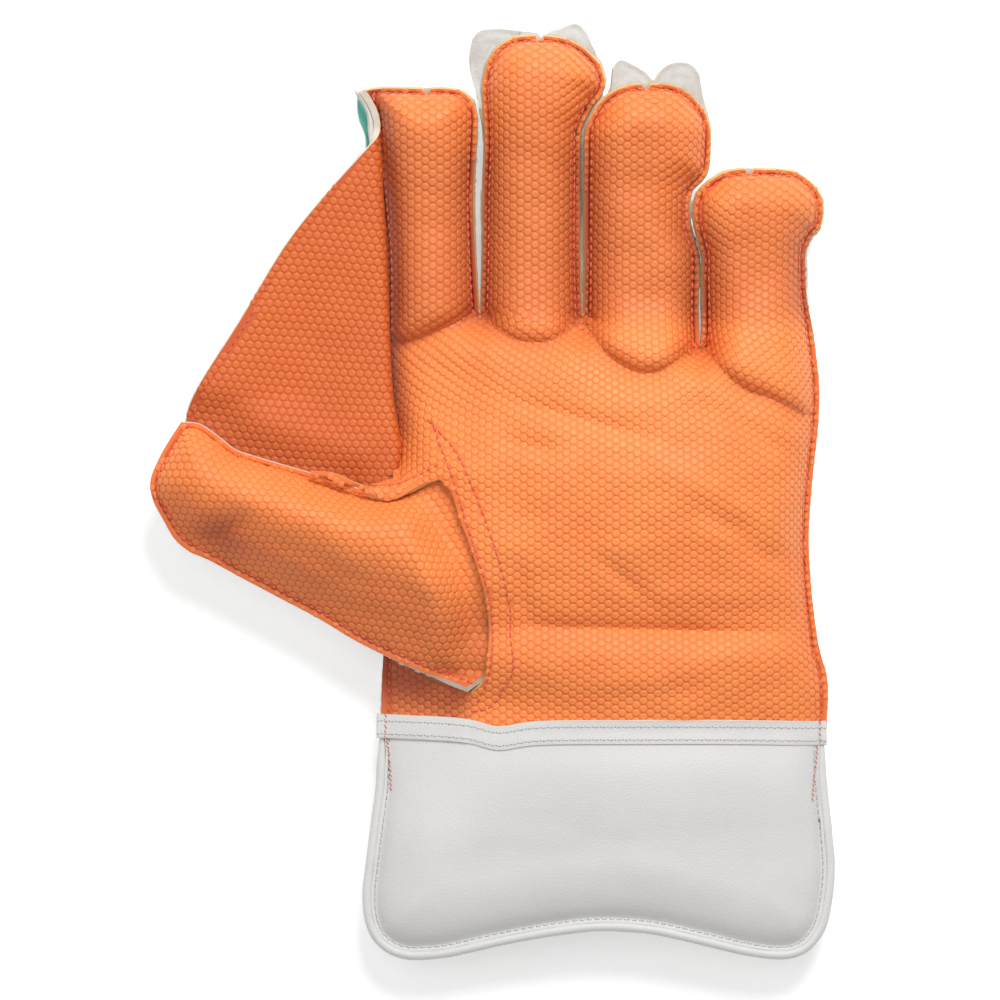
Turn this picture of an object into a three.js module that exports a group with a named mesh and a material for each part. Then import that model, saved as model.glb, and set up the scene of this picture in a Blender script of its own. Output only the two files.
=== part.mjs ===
import * as THREE from 'three';

// A left-hand wicketkeeping glove, lying on its back with the palm up. Millimetres, +Z up, fingertips
// to +Y. While it is modelled, X starts at the heel's outer edge and Y at the wrist, and the last lines
// centre it.

// Driving sizes
const palmWidth = 145;
const palmLength = 130.5;
const palmDepth = 38;
const seamHeight = 13;
const facingWall = 2;
const leatherWall = 1.5;
const clearance = 0.35;
const lipWidth = 2.6;
const crownSpan = 12;
const fingerSpacing = 3;
const fingerWidth = (palmWidth - 3 * fingerSpacing) / 4;
const indexLength = 72.5;
const middleLength = 89.5;
const ringLength = 79.5;
const littleLength = 54;
const fingerLift = 12;
const fingerCrown = 14;
const fingerBackDepth = 12;
const panelWidth = 5.5;
const thumbLength = 107;
const thumbWidth = 67.5;
const thumbLean = 19.5;
const thumbSeam = 22;
const thumbCrown = 17;
const thumbBackDepth = 22;
const thumbBackDrop = 2.55;
const tuckDrop = 3.4;
const tuckWidth = 18;
const flangeRise = 6.5;
const webRise = 6;
const webSag = 3;
const crestWidth = 3;
const footDrop = 3.4;
const crestInset = 3.3;
const webBackDrop = 2.65;
const cuffLength = 75;
const cuffEdge = 2;
const cuffCrown = 7;
const cuffPadding = 2.5;
const cuffSpan = 18;
const cuffArch = 4.5;
const cuffBackArch = 7;
const pipingRadius = 1.6;
const bindingWidth = 8;
const bindingGap = 0.6;

const orange = 0xe8793d;
const white = 0xdcdbd6;
const teal = 0x4fc0b0;

// Curves, patches and sheets

const clamp = (value, low, high) => Math.min(high, Math.max(low, value));

function ease(from, to, value) {
  const t = clamp((value - from) / (to - from), 0, 1);
  return t * t * (3 - 2 * t);
}

const point = (x, y) => new THREE.Vector3(x, y, 0);

// A smooth line through the points, cut into spans of even length
function smooth(points, spans) {
  if (points.length === 2) {
    return Array.from({ length: spans + 1 }, (_, i) => points[0].clone().lerp(points[1], i / spans));
  }
  return new THREE.CatmullRomCurve3(points, false, 'centripetal').getSpacedPoints(spans);
}

const join = (...lines) => lines.flatMap((line, i) => (i === 0 ? line : line.slice(1)));

function lengthShares(line) {
  const sums = [0];
  for (let i = 1; i < line.length; i += 1) {
    sums.push(sums[i - 1] + line[i].distanceTo(line[i - 1]));
  }
  return sums.map((sum) => sum / sums[sums.length - 1]);
}

// A grid of points inside four border lines: bottom and top run to +X, left and right run to +Y
function patch(bottom, top, left, right) {
  const [bottomShare, topShare, leftShare, rightShare] = [bottom, top, left, right].map(lengthShares);
  const rows = [];
  for (let j = 0; j < left.length; j += 1) {
    const row = [];
    for (let i = 0; i < bottom.length; i += 1) {
      const v = (leftShare[j] + rightShare[j]) / 2;
      const u = bottomShare[i] + (topShare[i] - bottomShare[i]) * v;
      const at = new THREE.Vector3();
      at.addScaledVector(bottom[i], 1 - v).addScaledVector(top[i], v);
      at.addScaledVector(left[j], 1 - u).addScaledVector(right[j], u);
      at.addScaledVector(bottom[0], -(1 - u) * (1 - v)).addScaledVector(bottom.at(-1), -u * (1 - v));
      at.addScaledVector(top[0], -(1 - u) * v).addScaledVector(top.at(-1), -u * v);
      row.push(at);
    }
    rows.push([left[j], ...row.slice(1, -1), right[j]]);
  }
  rows[0] = [left[0], ...bottom.slice(1, -1), right[0]];
  rows[rows.length - 1] = [left.at(-1), ...top.slice(1, -1), right.at(-1)];
  return rows;
}

// Distance in plan from a point to the nearest of some lines
function distanceTo(lines, x, y) {
  let nearest = Infinity;
  for (const line of lines) {
    for (let i = 1; i < line.length; i += 1) {
      const a = line[i - 1];
      const b = line[i];
      const dx = b.x - a.x;
      const dy = b.y - a.y;
      const square = Math.max(dx * dx + dy * dy, 1e-9);
      const t = clamp(((x - a.x) * dx + (y - a.y) * dy) / square, 0, 1);
      nearest = Math.min(nearest, Math.hypot(x - a.x - dx * t, y - a.y - dy * t));
    }
  }
  return nearest;
}

// How far a padded sheet has risen at a distance from its seam: flat on the lip, then round
function puff(distance, span = crownSpan) {
  const t = clamp((distance - lipWidth) / span, 0, 1);
  return (1 - (1 - t) ** 2) ** 0.65;
}

// A value read from a table of rows [place, value, value ...], smoothly between the rows
function sectionAt(table, place) {
  const last = table.length - 1;
  let i = 0;
  while (i < last - 1 && place > table[i + 1][0]) i += 1;
  const t = clamp((place - table[i][0]) / (table[i + 1][0] - table[i][0]), 0, 1);
  const before = table[Math.max(i - 1, 0)];
  const after = table[Math.min(i + 2, last)];
  return table[i].slice(1).map((value, k) => {
    const next = table[i + 1][k + 1];
    const slope = (next - before[k + 1]) / 2;
    const nextSlope = (after[k + 1] - value) / 2;
    const a = 2 * value - 2 * next + slope + nextSlope;
    const b = 3 * next - 3 * value - 2 * slope - nextSlope;
    return ((a * t + b) * t + slope) * t + value;
  });
}

// One closed solid from patches that share border points: height gives the middle of the wall in plan,
// above and below give how far the wall reaches to each side of it along the surface's normal
function sheet(name, colour, patches, height, above, below = above) {
  const places = [];
  const indexOf = new Map();
  const faces = [];
  const vertexAt = (at) => {
    const key = `${at.x.toFixed(4)} ${at.y.toFixed(4)}`;
    if (!indexOf.has(key)) {
      indexOf.set(key, places.length);
      places.push(new THREE.Vector3(at.x, at.y, height(at.x, at.y)));
    }
    return indexOf.get(key);
  };
  for (const rows of patches) {
    for (let j = 1; j < rows.length; j += 1) {
      for (let i = 1; i < rows[j].length; i += 1) {
        const a = vertexAt(rows[j - 1][i - 1]);
        const b = vertexAt(rows[j - 1][i]);
        const c = vertexAt(rows[j][i]);
        const d = vertexAt(rows[j][i - 1]);
        const across = places[a].distanceTo(places[c]) < places[b].distanceTo(places[d]);
        faces.push(...(across ? [[a, b, c], [a, c, d]] : [[a, b, d], [b, c, d]]));
      }
    }
  }
  const normals = places.map(() => new THREE.Vector3());
  for (const [a, b, c] of faces) {
    const side = places[b].clone().sub(places[a]);
    const normal = side.cross(places[c].clone().sub(places[a]));
    for (const corner of [a, b, c]) normals[corner].add(normal);
  }
  const shift = (side) => places.map((at, i) => {
    return at.clone().addScaledVector(normals[i].clone().normalize(), side(at.x, at.y));
  });
  const upper = shift(typeof above === 'number' ? () => above : above);
  const lower = shift(typeof below === 'number' ? () => -below : (x, y) => -below(x, y));
  const count = places.length;
  const index = [];
  const edges = new Set();
  for (const [a, b, c] of faces) {
    index.push(a, b, c, count + a, count + c, count + b);
    for (const [p, q] of [[a, b], [b, c], [c, a]]) edges.add(`${p} ${q}`);
  }
  for (const edge of edges) {
    const [p, q] = edge.split(' ').map(Number);
    if (!edges.has(`${q} ${p}`)) index.push(q, p, count + p, q, count + p, count + q);
  }
  const geometry = new THREE.BufferGeometry();
  const numbers = [...upper, ...lower].flatMap((at) => at.toArray());
  geometry.setAttribute('position', new THREE.Float32BufferAttribute(numbers, 3));
  geometry.setIndex(index);
  return meshOf(name, colour, geometry);
}

function meshOf(name, colour, geometry) {
  const roughness = colour === orange ? 0.6 : 0.5;
  const material = new THREE.MeshStandardMaterial({ color: colour, roughness, metalness: 0 });
  const mesh = new THREE.Mesh(geometry, material);
  mesh.name = name;
  return mesh;
}

// The palm's plan: points as shares of its width, from the heel's outer edge, and of its length, from
// the wrist
const onPalm = (across, along) => point(across * palmWidth, along * palmLength);
const palmLine = (rows) => rows.map(([across, along]) => onPalm(across, along));

// The four crotch points and the ends of the finger row
const indexOuter = onPalm(0.02, 0.963);
const crotchIndex = onPalm(0.223, 1.008);
const crotchMiddle = onPalm(0.453, 1);
const crotchRing = onPalm(0.716, 0.926);
const littleOuter = onPalm(0.967, 0.975);

// The little finger's side of the palm, from the wrist up
const palmSide = palmLine([
  // across, along
  [1, -0.025], [1.002, 0.09], [0.982, 0.181], [0.966, 0.318], [0.96, 0.454], [0.969, 0.6],
  [0.982, 0.74], [0.983, 0.83], [0.972, 0.938],
]).concat(littleOuter);

// The cut-out for the thumb, from its lower end at the heel up to the peak at the crotch
const cutFoot = onPalm(0.203, 0.072);
const cutPeak = onPalm(0.134, 0.589);
const cutOut = [cutFoot, ...palmLine([
  // across, along
  [0.229, 0.097], [0.239, 0.171], [0.241, 0.243], [0.232, 0.31], [0.21, 0.395], [0.174, 0.504],
  [0.158, 0.559],
]), cutPeak];

// The flange over the crotch: its root on the palm, and its free end
const flangeRootTop = onPalm(0.03, 0.59);
const flangeRootFoot = onPalm(0.009, 0.536);
const flangeEndTop = onPalm(-0.154, 0.613);
const flangeEndFoot = onPalm(-0.147, 0.596);

// Fingers: shares of the finger's width off its centre line, and of its length from its root
const fingers = [
  {
    name: 'index',
    centre: 0.107,
    root: 1.007,
    length: indexLength,
    from: indexOuter,
    to: crotchIndex,
    roll: 0,
    left: [
      // along, across
      [0.277, -0.42], [0.527, -0.47], [0.723, -0.51], [0.866, -0.53], [0.94, -0.59],
    ],
    right: [[0.277, 0.462], [0.527, 0.447], [0.7, 0.465], [0.8, 0.475], [0.87, 0.478]],
    tip: [
      [0.985, -0.64], [1, -0.46], [1, -0.154], [0.975, -0.01], [1, 0.13], [0.985, 0.33], [0.94, 0.44],
    ],
  },
  {
    name: 'middle',
    centre: 0.339,
    root: 1.003,
    length: middleLength,
    from: crotchIndex,
    to: crotchMiddle,
    roll: 1.5,
    left: [[0.25, -0.48], [0.45, -0.475], [0.62, -0.46], [0.75, -0.475], [0.815, -0.482]],
    right: [[0.25, 0.475], [0.5, 0.465], [0.63, 0.475], [0.7, 0.54], [0.76, 0.64], [0.825, 0.7]],
    tip: [
      [0.9, -0.44], [0.955, -0.345], [0.995, -0.17], [1, 0.01], [0.978, 0.076], [1, 0.145], [0.99, 0.33],
      [0.955, 0.51], [0.9, 0.66],
    ],
  },
  {
    name: 'ring',
    centre: 0.585,
    root: 0.963,
    length: ringLength,
    from: crotchMiddle,
    to: crotchRing,
    roll: 3,
    left: [[0.3, -0.542], [0.55, -0.535], [0.7, -0.53], [0.81, -0.51], [0.88, -0.46]],
    right: [
      [0.2, 0.545], [0.31, 0.54], [0.39, 0.475], [0.5, 0.465], [0.57, 0.5], [0.65, 0.62], [0.75, 0.66],
      [0.815, 0.66],
    ],
    tip: [
      [0.915, -0.42], [0.965, -0.31], [0.995, -0.12], [0.998, -0.02], [0.976, 0.03], [0.996, 0.08],
      [1, 0.25], [0.973, 0.42], [0.93, 0.53], [0.88, 0.62],
    ],
  },
  {
    name: 'little',
    centre: 0.844,
    root: 0.95,
    length: littleLength,
    from: crotchRing,
    to: littleOuter,
    roll: 3,
    left: [[0.2, -0.49], [0.42, -0.515], [0.56, -0.56], [0.68, -0.615], [0.79, -0.6], [0.86, -0.56]],
    right: [
      [0.21, 0.485], [0.38, 0.468], [0.5, 0.47], [0.58, 0.52], [0.64, 0.6], [0.7, 0.63], [0.775, 0.635],
      [0.83, 0.62],
    ],
    tip: [
      [0.925, -0.48], [0.98, -0.33], [1, -0.16], [0.97, -0.09], [0.998, -0.02], [1, 0.14], [0.99, 0.33],
      [0.95, 0.46], [0.89, 0.565],
    ],
  },
];

// Where the columns of a finger lie across it: the lips are narrow, the face is wide
const fingerColumns = [0, 0.076, 0.2, 0.36, 0.5, 0.64, 0.8, 0.924, 1];
const fingerRows = 11;

const spread = (from, to, shares) => shares.map((share) => from.clone().lerp(to, share));

// A line resampled at given shares of its length
function resample(line, shares) {
  const marks = lengthShares(line);
  return shares.map((share) => {
    let i = 0;
    while (i < line.length - 2 && marks[i + 1] < share) i += 1;
    return line[i].clone().lerp(line[i + 1], (share - marks[i]) / (marks[i + 1] - marks[i]));
  });
}

for (const finger of fingers) {
  const rootX = finger.centre * palmWidth;
  const rootY = finger.root * palmLength;
  finger.place = ([along, across]) => point(rootX + across * fingerWidth, rootY + along * finger.length);
  const tip = finger.tip.map(finger.place);
  const left = [finger.from, ...finger.left.map(finger.place), tip[0]];
  const right = [finger.to, ...finger.right.map(finger.place), tip.at(-1)];
  finger.base = spread(finger.from, finger.to, fingerColumns);
  finger.leftLine = smooth(left, fingerRows);
  finger.rightLine = smooth(right, fingerRows);
  finger.tipLine = resample(smooth(tip, 40), fingerColumns);
  finger.rows = patch(finger.base, finger.tipLine, finger.leftLine, finger.rightLine);
  finger.outline = [...finger.leftLine, ...smooth(tip, 24), ...finger.rightLine.slice().reverse()];
}

// The palm's border lines
const [index, middle, ring, little] = fingers;
const wristEdge = -0.025;
const indexSide = smooth([flangeRootTop, ...palmLine([
  // across, along
  [0.041, 0.625], [0.04, 0.665], [0.031, 0.715], [0.022, 0.79], [0.02, 0.89],
]), indexOuter], 12);
const flangeFootLine = smooth([flangeRootFoot, ...palmLine([
  // across, along
  [0.038, 0.543], [0.071, 0.561], [0.107, 0.581],
]), cutPeak], 20);
const cutLine = smooth(cutOut, 24);
const sideLine = smooth([...palmSide], 30);
const heelEdge = smooth(palmLine([[0, wristEdge], [0.003, 0.09], [0.007, 0.172]]), 4);
const heelTop = smooth([heelEdge.at(-1), ...palmLine([[0.08, 0.122], [0.134, 0.094]]), cutFoot], 12);
const flangeTop = smooth([flangeEndTop, ...palmLine([[-0.098, 0.608], [-0.054, 0.586], [-0.022, 0.576]]),
  flangeRootTop], 8);
const flangeFoot = smooth([flangeEndFoot, ...palmLine([[-0.116, 0.585], [-0.067, 0.567], [-0.051, 0.573],
  [-0.031, 0.553]]), flangeRootFoot], 8);

const even = (count) => Array.from({ length: count + 1 }, (_, i) => i / count);

// The palm without its fingers: the part below the index finger, the main field and the heel
function palmPatches(columns, upperRows, cutRows, heelRows) {
  const base = (finger) => spread(finger.from, finger.to, columns);
  const fieldUpper = smooth([cutPeak, onPalm(0.165, 0.72), onPalm(0.2, 0.87), crotchIndex], upperRows);
  const fieldLeft = join(
    spread(onPalm(0.196, wristEdge), cutFoot, even(heelRows)),
    resample(cutLine, even(cutRows)),
    fieldUpper,
  );
  const stops = [...even(heelRows).map((share) => share * 0.09),
    ...even(cutRows).slice(1).map((share) => 0.09 + share * 0.5),
    ...even(upperRows).slice(1).map((share) => 0.59 + share * 0.41)];
  const fieldTop = join(base(middle), base(ring), base(little));
  const fieldFoot = resample([onPalm(0.196, wristEdge), onPalm(1, wristEdge)], lengthShares(fieldTop));
  const heelFoot = spread(heelEdge[0], fieldLeft[0], columns);
  const indexLeft = join(
    spread(flangeRootFoot, flangeRootTop, even(2)),
    resample(indexSide, even(upperRows - 2)),
  );
  const heelLeft = resample(heelEdge, even(heelRows));
  const heelRight = fieldLeft.slice(0, heelRows + 1);
  return [
    patch(resample(flangeFootLine, columns), base(index), indexLeft, fieldUpper),
    patch(fieldFoot, fieldTop, fieldLeft, resample(sideLine, stops)),
    patch(heelFoot, resample(heelTop, columns), heelLeft, heelRight),
  ];
}

const flangePatch = patch(flangeFoot, flangeTop, spread(flangeEndFoot, flangeEndTop, even(2)),
  spread(flangeRootFoot, flangeRootTop, even(2)));

// The palm's lines where the facing is sewn to the back, as seen from above; the fingers' outlines
// join them
const palmSeams = [
  heelEdge,
  sideLine,
  indexSide,
  flangeTop,
];

// Heights of the palm as shares of its depth, at five places across it
const palmSections = [
  // along, heel edge, quarter, middle, three quarters, far edge
  [-0.025, 0.36, 0.56, 0.66, 0.63, 0.47],
  [0.045, 0.38, 0.58, 0.7, 0.68, 0.5],
  [0.144, 0.48, 0.74, 0.82, 0.79, 0.55],
  [0.223, 0.58, 0.75, 0.76, 0.73, 0.55],
  [0.318, 0.68, 0.84, 0.85, 0.81, 0.6],
  [0.442, 0.74, 0.9, 0.96, 0.92, 0.66],
  [0.59, 0.72, 0.91, 1, 0.97, 0.71],
  [0.74, 0.58, 0.84, 0.95, 0.92, 0.71],
  [0.863, 0.52, 0.72, 0.82, 0.85, 0.71],
  [1, 0.6, 0.72, 0.78, 0.82, 0.74],
];

// Creases and folds of the palm side
const folds = [
  // across, along, turn in degrees, half length, half width, height as a share of palm depth
  [0.125, 0.925, 8, 0.085, 0.034, -0.16],
  [0.315, 0.935, 0, 0.085, 0.034, -0.16],
  [0.6, 0.878, 0, 0.095, 0.034, -0.16],
  [0.865, 0.795, -28, 0.08, 0.034, -0.16],
  [0.6, 0.222, -3, 0.28, 0.026, -0.07],
  [0.5, 0.67, -20, 0.3, 0.03, -0.035],
  [0.62, 0.5, -25, 0.3, 0.035, 0.03],
];

function foldsAt(x, y) {
  let sum = 0;
  for (const [across, along, turn, halfLength, halfWidth, height] of folds) {
    const dx = x - across * palmWidth;
    const dy = y - along * palmLength;
    const angle = THREE.MathUtils.degToRad(turn);
    const u = (dx * Math.cos(angle) + dy * Math.sin(angle)) / (halfLength * palmWidth);
    const v = (dy * Math.cos(angle) - dx * Math.sin(angle)) / (halfWidth * palmWidth);
    sum += height * palmDepth * Math.exp(-(u ** 4) - v * v);
  }
  return sum;
}

const reach = middle.root * palmLength + middleLength;
const liftStart = 0.8 * palmLength;

// What lies over a point in plan: how far its nearest seam is, and the finger it is in, if any
const measured = new Map();

function measureAt(x, y) {
  const key = `${x.toFixed(3)} ${y.toFixed(3)}`;
  if (!measured.has(key)) {
    let distance = distanceTo(palmSeams, x, y);
    let finger = null;
    for (const other of fingers) {
      const away = distanceTo([other.outline], x, y);
      if (away < distance || (!finger && away < 30 && y > other.root * palmLength)) finger = other;
      distance = Math.min(distance, away);
    }
    if (y < palmLength * 0.85) finger = null;
    measured.set(key, { distance, finger });
  }
  return measured.get(key);
}

// Each finger leans a little to its right, so that its head lies over its neighbour's
function rollAt(x, y, finger) {
  if (!finger) return 0;
  const along = (y / palmLength - finger.root) * (palmLength / finger.length);
  const across = (x - finger.centre * palmWidth) / (fingerWidth / 2);
  return -finger.roll * clamp(across, -1, 1) * ease(0.1, 0.7, along);
}

// Height of the seams: level at the palm, rising to the fingertips
function backSeamAt(x, y, finger = measureAt(x, y).finger) {
  const lift = fingerLift * clamp((y - liftStart) / (reach - liftStart), 0, 1) ** 1.4;
  return seamHeight + lift + rollAt(x, y, finger);
}

// The facing's own seams also rise where the flange crosses the thumb
function seamAt(x, y) {
  const across = x / palmWidth;
  const along = y / palmLength;
  const rise = Math.max(ease(0.68, 0.55, along), ease(0.035, -0.02, across));
  const span = ease(0.2, 0.4, along) * (1 - ease(0.7, 0.75, along));
  const crotch = (1 - ease(0.12, 0.3, across)) * rise * span;
  return backSeamAt(x, y) + crotch * (thumbSeam + flangeRise - seamHeight);
}

function crownAt(x, y) {
  const across = clamp(x / palmWidth, 0, 1) * 4;
  const row = sectionAt(palmSections, y / palmLength);
  const columns = row.map((value, k) => [k, value]);
  const palm = sectionAt(columns, across)[0] * palmDepth;
  const wave = Math.sin(2 * Math.PI * clamp((y / palmLength - 1) * 1.4, 0, 1));
  const finger = seamAt(x, y) + fingerCrown * (1 - 0.12 * wave);
  return THREE.MathUtils.lerp(palm, finger, ease(0.9, 1.06, y / palmLength));
}

function palmHeight(x, y) {
  const seam = seamAt(x, y);
  const rise = puff(measureAt(x, y).distance);
  return seam + (crownAt(x, y) + foldsAt(x, y) - seam) * rise;
}

const wallGap = (facingWall + leatherWall) / 2 + clearance;

// How much longer than its plan a step along the seams' height is, where they slope
function slopeAt(x, y, finger) {
  const step = 0.5;
  const level = backSeamAt(x, y, finger);
  const across = (backSeamAt(x + step, y, finger) - level) / step;
  return Math.hypot(1, across, (backSeamAt(x, y + step, finger) - level) / step);
}

// The backs lie one gap below the seams and are flattened where the glove rests
function backHeight(x, y) {
  const depth = fingerBackDepth * puff(measureAt(x, y).distance);
  return Math.max(backSeamAt(x, y) - wallGap * slopeAt(x, y) - depth, leatherWall / 2);
}

// Thumb: points as shares of its length from its root and of its width off its centre line
const thumbRoot = onPalm(0.214, 0.318);
const lean = THREE.MathUtils.degToRad(thumbLean);

function onThumb([along, across]) {
  const x = -along * thumbLength * Math.cos(lean) + across * thumbWidth * Math.sin(lean);
  const y = along * thumbLength * Math.sin(lean) + across * thumbWidth * Math.cos(lean);
  return point(thumbRoot.x + x, thumbRoot.y + y);
}

const thumbTip = smooth([
  // along, across
  [0.962, -0.182], [1.011, -0.108], [1.036, -0.03], [1.035, 0.082], [1.023, 0.19], [1.007, 0.29],
].map(onThumb), 24);
const thumbLower = smooth([thumbTip[0], ...[
  [0.908, -0.253], [0.856, -0.285], [0.796, -0.292], [0.67, -0.323], [0.541, -0.353],
  [0.413, -0.383], [0.298, -0.42], [0.197, -0.44], [0.046, -0.457], [-0.06, -0.452],
].map(onThumb)], 24);
const upperTable = [
  // along, across
  [0.954, 0.31], [0.891, 0.287], [0.825, 0.252], [0.767, 0.252], [0.666, 0.26], [0.575, 0.268],
];
const thumbUpper = smooth([thumbTip.at(-1), ...[
  ...upperTable, [0.473, 0.235], [0.418, 0.229], [0.364, 0.248], [0.313, 0.305], [0.27, 0.37],
  [0.204, 0.439],
].map(onThumb)], 24);
const thumbBackUpper = smooth([thumbTip.at(-1), ...[
  ...upperTable, [0.437, 0.284], [0.29, 0.361], [0.204, 0.439],
].map(onThumb)], 24);

// The facing's root is tucked under the palm's cut edge, the back's root meets the back of the hand
const thumbTuck = smooth([thumbLower.at(-1), ...[
  [-0.084, -0.415], [-0.105, -0.33], [-0.116, -0.27], [-0.11, -0.18], [-0.08, -0.057], [-0.02, 0.113],
  [0.05, 0.251], [0.117, 0.366],
].map(onThumb), thumbUpper.at(-1)], 24);
const thumbBackRoot = smooth([
  // across, along
  [0.186, 0.08], [0.215, 0.11], [0.226, 0.171], [0.228, 0.243], [0.219, 0.31], [0.197, 0.395],
  [0.16, 0.504], [0.135, 0.56],
].map(([across, along]) => onPalm(across, along)), 24);
const thumbRows = [0, 0.05, 0.16, 0.3, 0.44, 0.58, 0.72, 0.86, 0.95, 1];
const thumbColumns = [0, 0.08, 0.2, 0.33, 0.46, 0.59, 0.71, 0.82, 0.91, 0.965, 1];

function thumbPatch(root, upperLine) {
  const lower = [...thumbLower.slice(0, -1), root[0]];
  const upper = [...upperLine.slice(0, -1), root.at(-1)];
  return patch(resample(lower, thumbColumns), resample(upper, thumbColumns),
    resample(thumbTip, thumbRows), resample(root, thumbRows));
}

// Heights of the thumb's seams as shares of thumbSeam, and the share of the crown across the thumb
const thumbSeams = [
  // along, lower seam, upper seam
  [-0.12, 1.3, 1.3], [0.05, 1.2, 1.27], [0.2, 1.08, 1.22], [0.45, 0.95, 1.14], [0.75, 0.94, 1.09],
  [1.04, 0.98, 1.04],
];
const thumbAcross = [
  // lower to upper, crown
  [0, 0.15], [0.15, 0.3], [0.3, 0.68], [0.5, 1], [0.68, 0.95], [0.85, 0.7], [1, 0.45],
];
const thumbAlong = [
  // along, crown
  [-0.12, 0.75], [0.1, 0.85], [0.4, 1], [0.7, 0.85], [0.9, 0.6], [1.04, 0.4],
];

function thumbShares(x, y) {
  const dx = x - thumbRoot.x;
  const dy = y - thumbRoot.y;
  const along = (dy * Math.sin(lean) - dx * Math.cos(lean)) / thumbLength;
  const across = (dx * Math.sin(lean) + dy * Math.cos(lean)) / thumbWidth;
  return { along, across: clamp((across + 0.42 - 0.12 * along) / (0.8 - 0.2 * along), 0, 1) };
}

function thumbSeamAt(x, y) {
  const { along, across } = thumbShares(x, y);
  const [lower, upper] = sectionAt(thumbSeams, along);
  return thumbSeam * (lower + (upper - lower) * across);
}

// How much a point of the thumb follows the palm's cut edge
function tuckAt(x, y) {
  return ease(0.085, 0.13, y / palmLength) * (1 - ease(4, tuckWidth, distanceTo([cutLine], x, y)));
}

function thumbHeight(x, y) {
  const { along, across } = thumbShares(x, y);
  const distance = distanceTo([thumbLower, thumbTip, thumbUpper], x, y);
  const crown = thumbCrown * sectionAt(thumbAcross, across)[0] * sectionAt(thumbAlong, along)[0];
  const dome = thumbSeamAt(x, y) + crown * puff(distance);
  const under = palmHeight(x, y) - tuckDrop;
  return THREE.MathUtils.lerp(dome, under, tuckAt(x, y));
}

function thumbBackHeight(x, y) {
  const distance = distanceTo([thumbLower, thumbTip, thumbBackUpper], x, y);
  const { along } = thumbShares(x, y);
  const depth = thumbBackDepth * (1 - 0.5 * ease(0.2, 1, along)) * puff(distance);
  const level = Math.min(thumbSeamAt(x, y), thumbHeight(x, y));
  const hung = level - thumbBackDrop - depth;
  const root = 1 - ease(1, 14, distanceTo([cutLine], x, y));
  return Math.max(THREE.MathUtils.lerp(hung, leatherWall / 2, root * puff(distance)), leatherWall / 2);
}

// Web: from its free edge to the crest over the index finger's seam, and down to the thumb
const webTopLeft = onPalm(-0.036, 1.434);
const webTopRight = onPalm(-0.007, 1.457);
const webFootRight = onPalm(0.013, 0.6);
const webFootLeft = onThumb([0.999, 0.264]);
const webEdge = smooth([webFootLeft, onThumb([1.007, 0.39]), ...palmLine([
  // across, along
  [-0.312, 0.99], [-0.203, 1.186], [-0.105, 1.318], [-0.06, 1.36],
]), webTopLeft], 20);
const webCrest = smooth([webFootRight, ...palmLine([
  // across, along
  [0.025, 0.626], [0.031, 0.65], [0.037, 0.68], [0.04, 0.7], [0.04, 0.74], [0.036, 0.79], [0.034, 0.92],
  [0.03, 1.04], [0.022, 1.16], [0.013, 1.285], [0.001, 1.385],
]), webTopRight], 24);
const webFoot = smooth([webFootLeft, ...[
  // along, across
  [0.905, 0.275], [0.832, 0.224], [0.704, 0.212], [0.584, 0.232], [0.479, 0.264], [0.406, 0.299],
].map(onThumb), webFootRight], 20);
const webColumns = 7;
const webRows = [0, 0.1, 0.22, 0.36, 0.5, 0.64, 0.78, 0.9, 1];

function webPatch(crest) {
  const foot = join(webFoot.slice(0, -1), [webFoot.at(-2), crest[0]]);
  const columns = [...even(webColumns).map((share) => share * 0.93), 1];
  return patch(resample(foot, columns), spread(webTopLeft, crest.at(-1), columns),
    resample(webEdge, webRows), resample(crest, webRows));
}

function webHeight(x, y) {
  const lift = fingerLift * clamp((y - liftStart) / (reach - liftStart), 0, 1) ** 1.4;
  const fromCrest = distanceTo([webCrest], x, y);
  const fromEdge = distanceTo([webEdge, webFoot], x, y);
  const roll = (webRise - wallGap - 1.2) * (1 - clamp(fromCrest / crestWidth, 0, 1)) ** 2;
  const sag = webSag * ease(0, 30, fromCrest) * ease(0, 30, fromEdge);
  const drop = footDrop * (1 - ease(3, 16, distanceTo([webFoot], x, y)));
  return seamHeight + webRise + lift - roll - sag - drop;
}

const webBackCrest = webCrest.map((at) => point(at.x - crestInset, at.y));

// The flared lobes that reach past a fingertip, in the finger's own shares
const ears = {
  middle: {
    left: [[0.25, -0.48], [0.45, -0.475], [0.62, -0.46], [0.75, -0.5], [0.865, -0.58], [0.937, -0.59]],
    tip: [
      [0.984, -0.57], [1.013, -0.504], [1.024, -0.351], [1.017, -0.113], [1.009, 0.049], [0.991, 0.096],
      [1.013, 0.163], [1.024, 0.268], [1.042, 0.372], [1.042, 0.439], [1.013, 0.515],
    ],
    right: [[0.25, 0.475], [0.5, 0.465], [0.63, 0.475], [0.72, 0.6], [0.847, 0.706], [0.93, 0.62]],
  },
  ring: {
    left: [[0.3, -0.542], [0.55, -0.535], [0.7, -0.53], [0.81, -0.51], [0.915, -0.385], [0.97, -0.31]],
    tip: [
      [1.06, -0.285], [1.092, -0.22], [1.075, -0.095], [1.043, 0.038], [1.014, 0.105], [1.047, 0.162],
      [1.075, 0.238], [1.088, 0.371], [1.075, 0.476], [1.043, 0.543],
    ],
    right: [
      [0.2, 0.545], [0.31, 0.54], [0.39, 0.475], [0.5, 0.465], [0.57, 0.5], [0.65, 0.62], [0.823, 0.657],
      [0.937, 0.59],
    ],
  },
};
const backColumns = [0, 0.076, 0.3, 0.7, 0.924, 1];
const earColumns = [0, 0.076, 0.19, 0.3, 0.42, 0.5, 0.58, 0.7, 0.81, 0.924, 1];
const backRows = 7;

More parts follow.
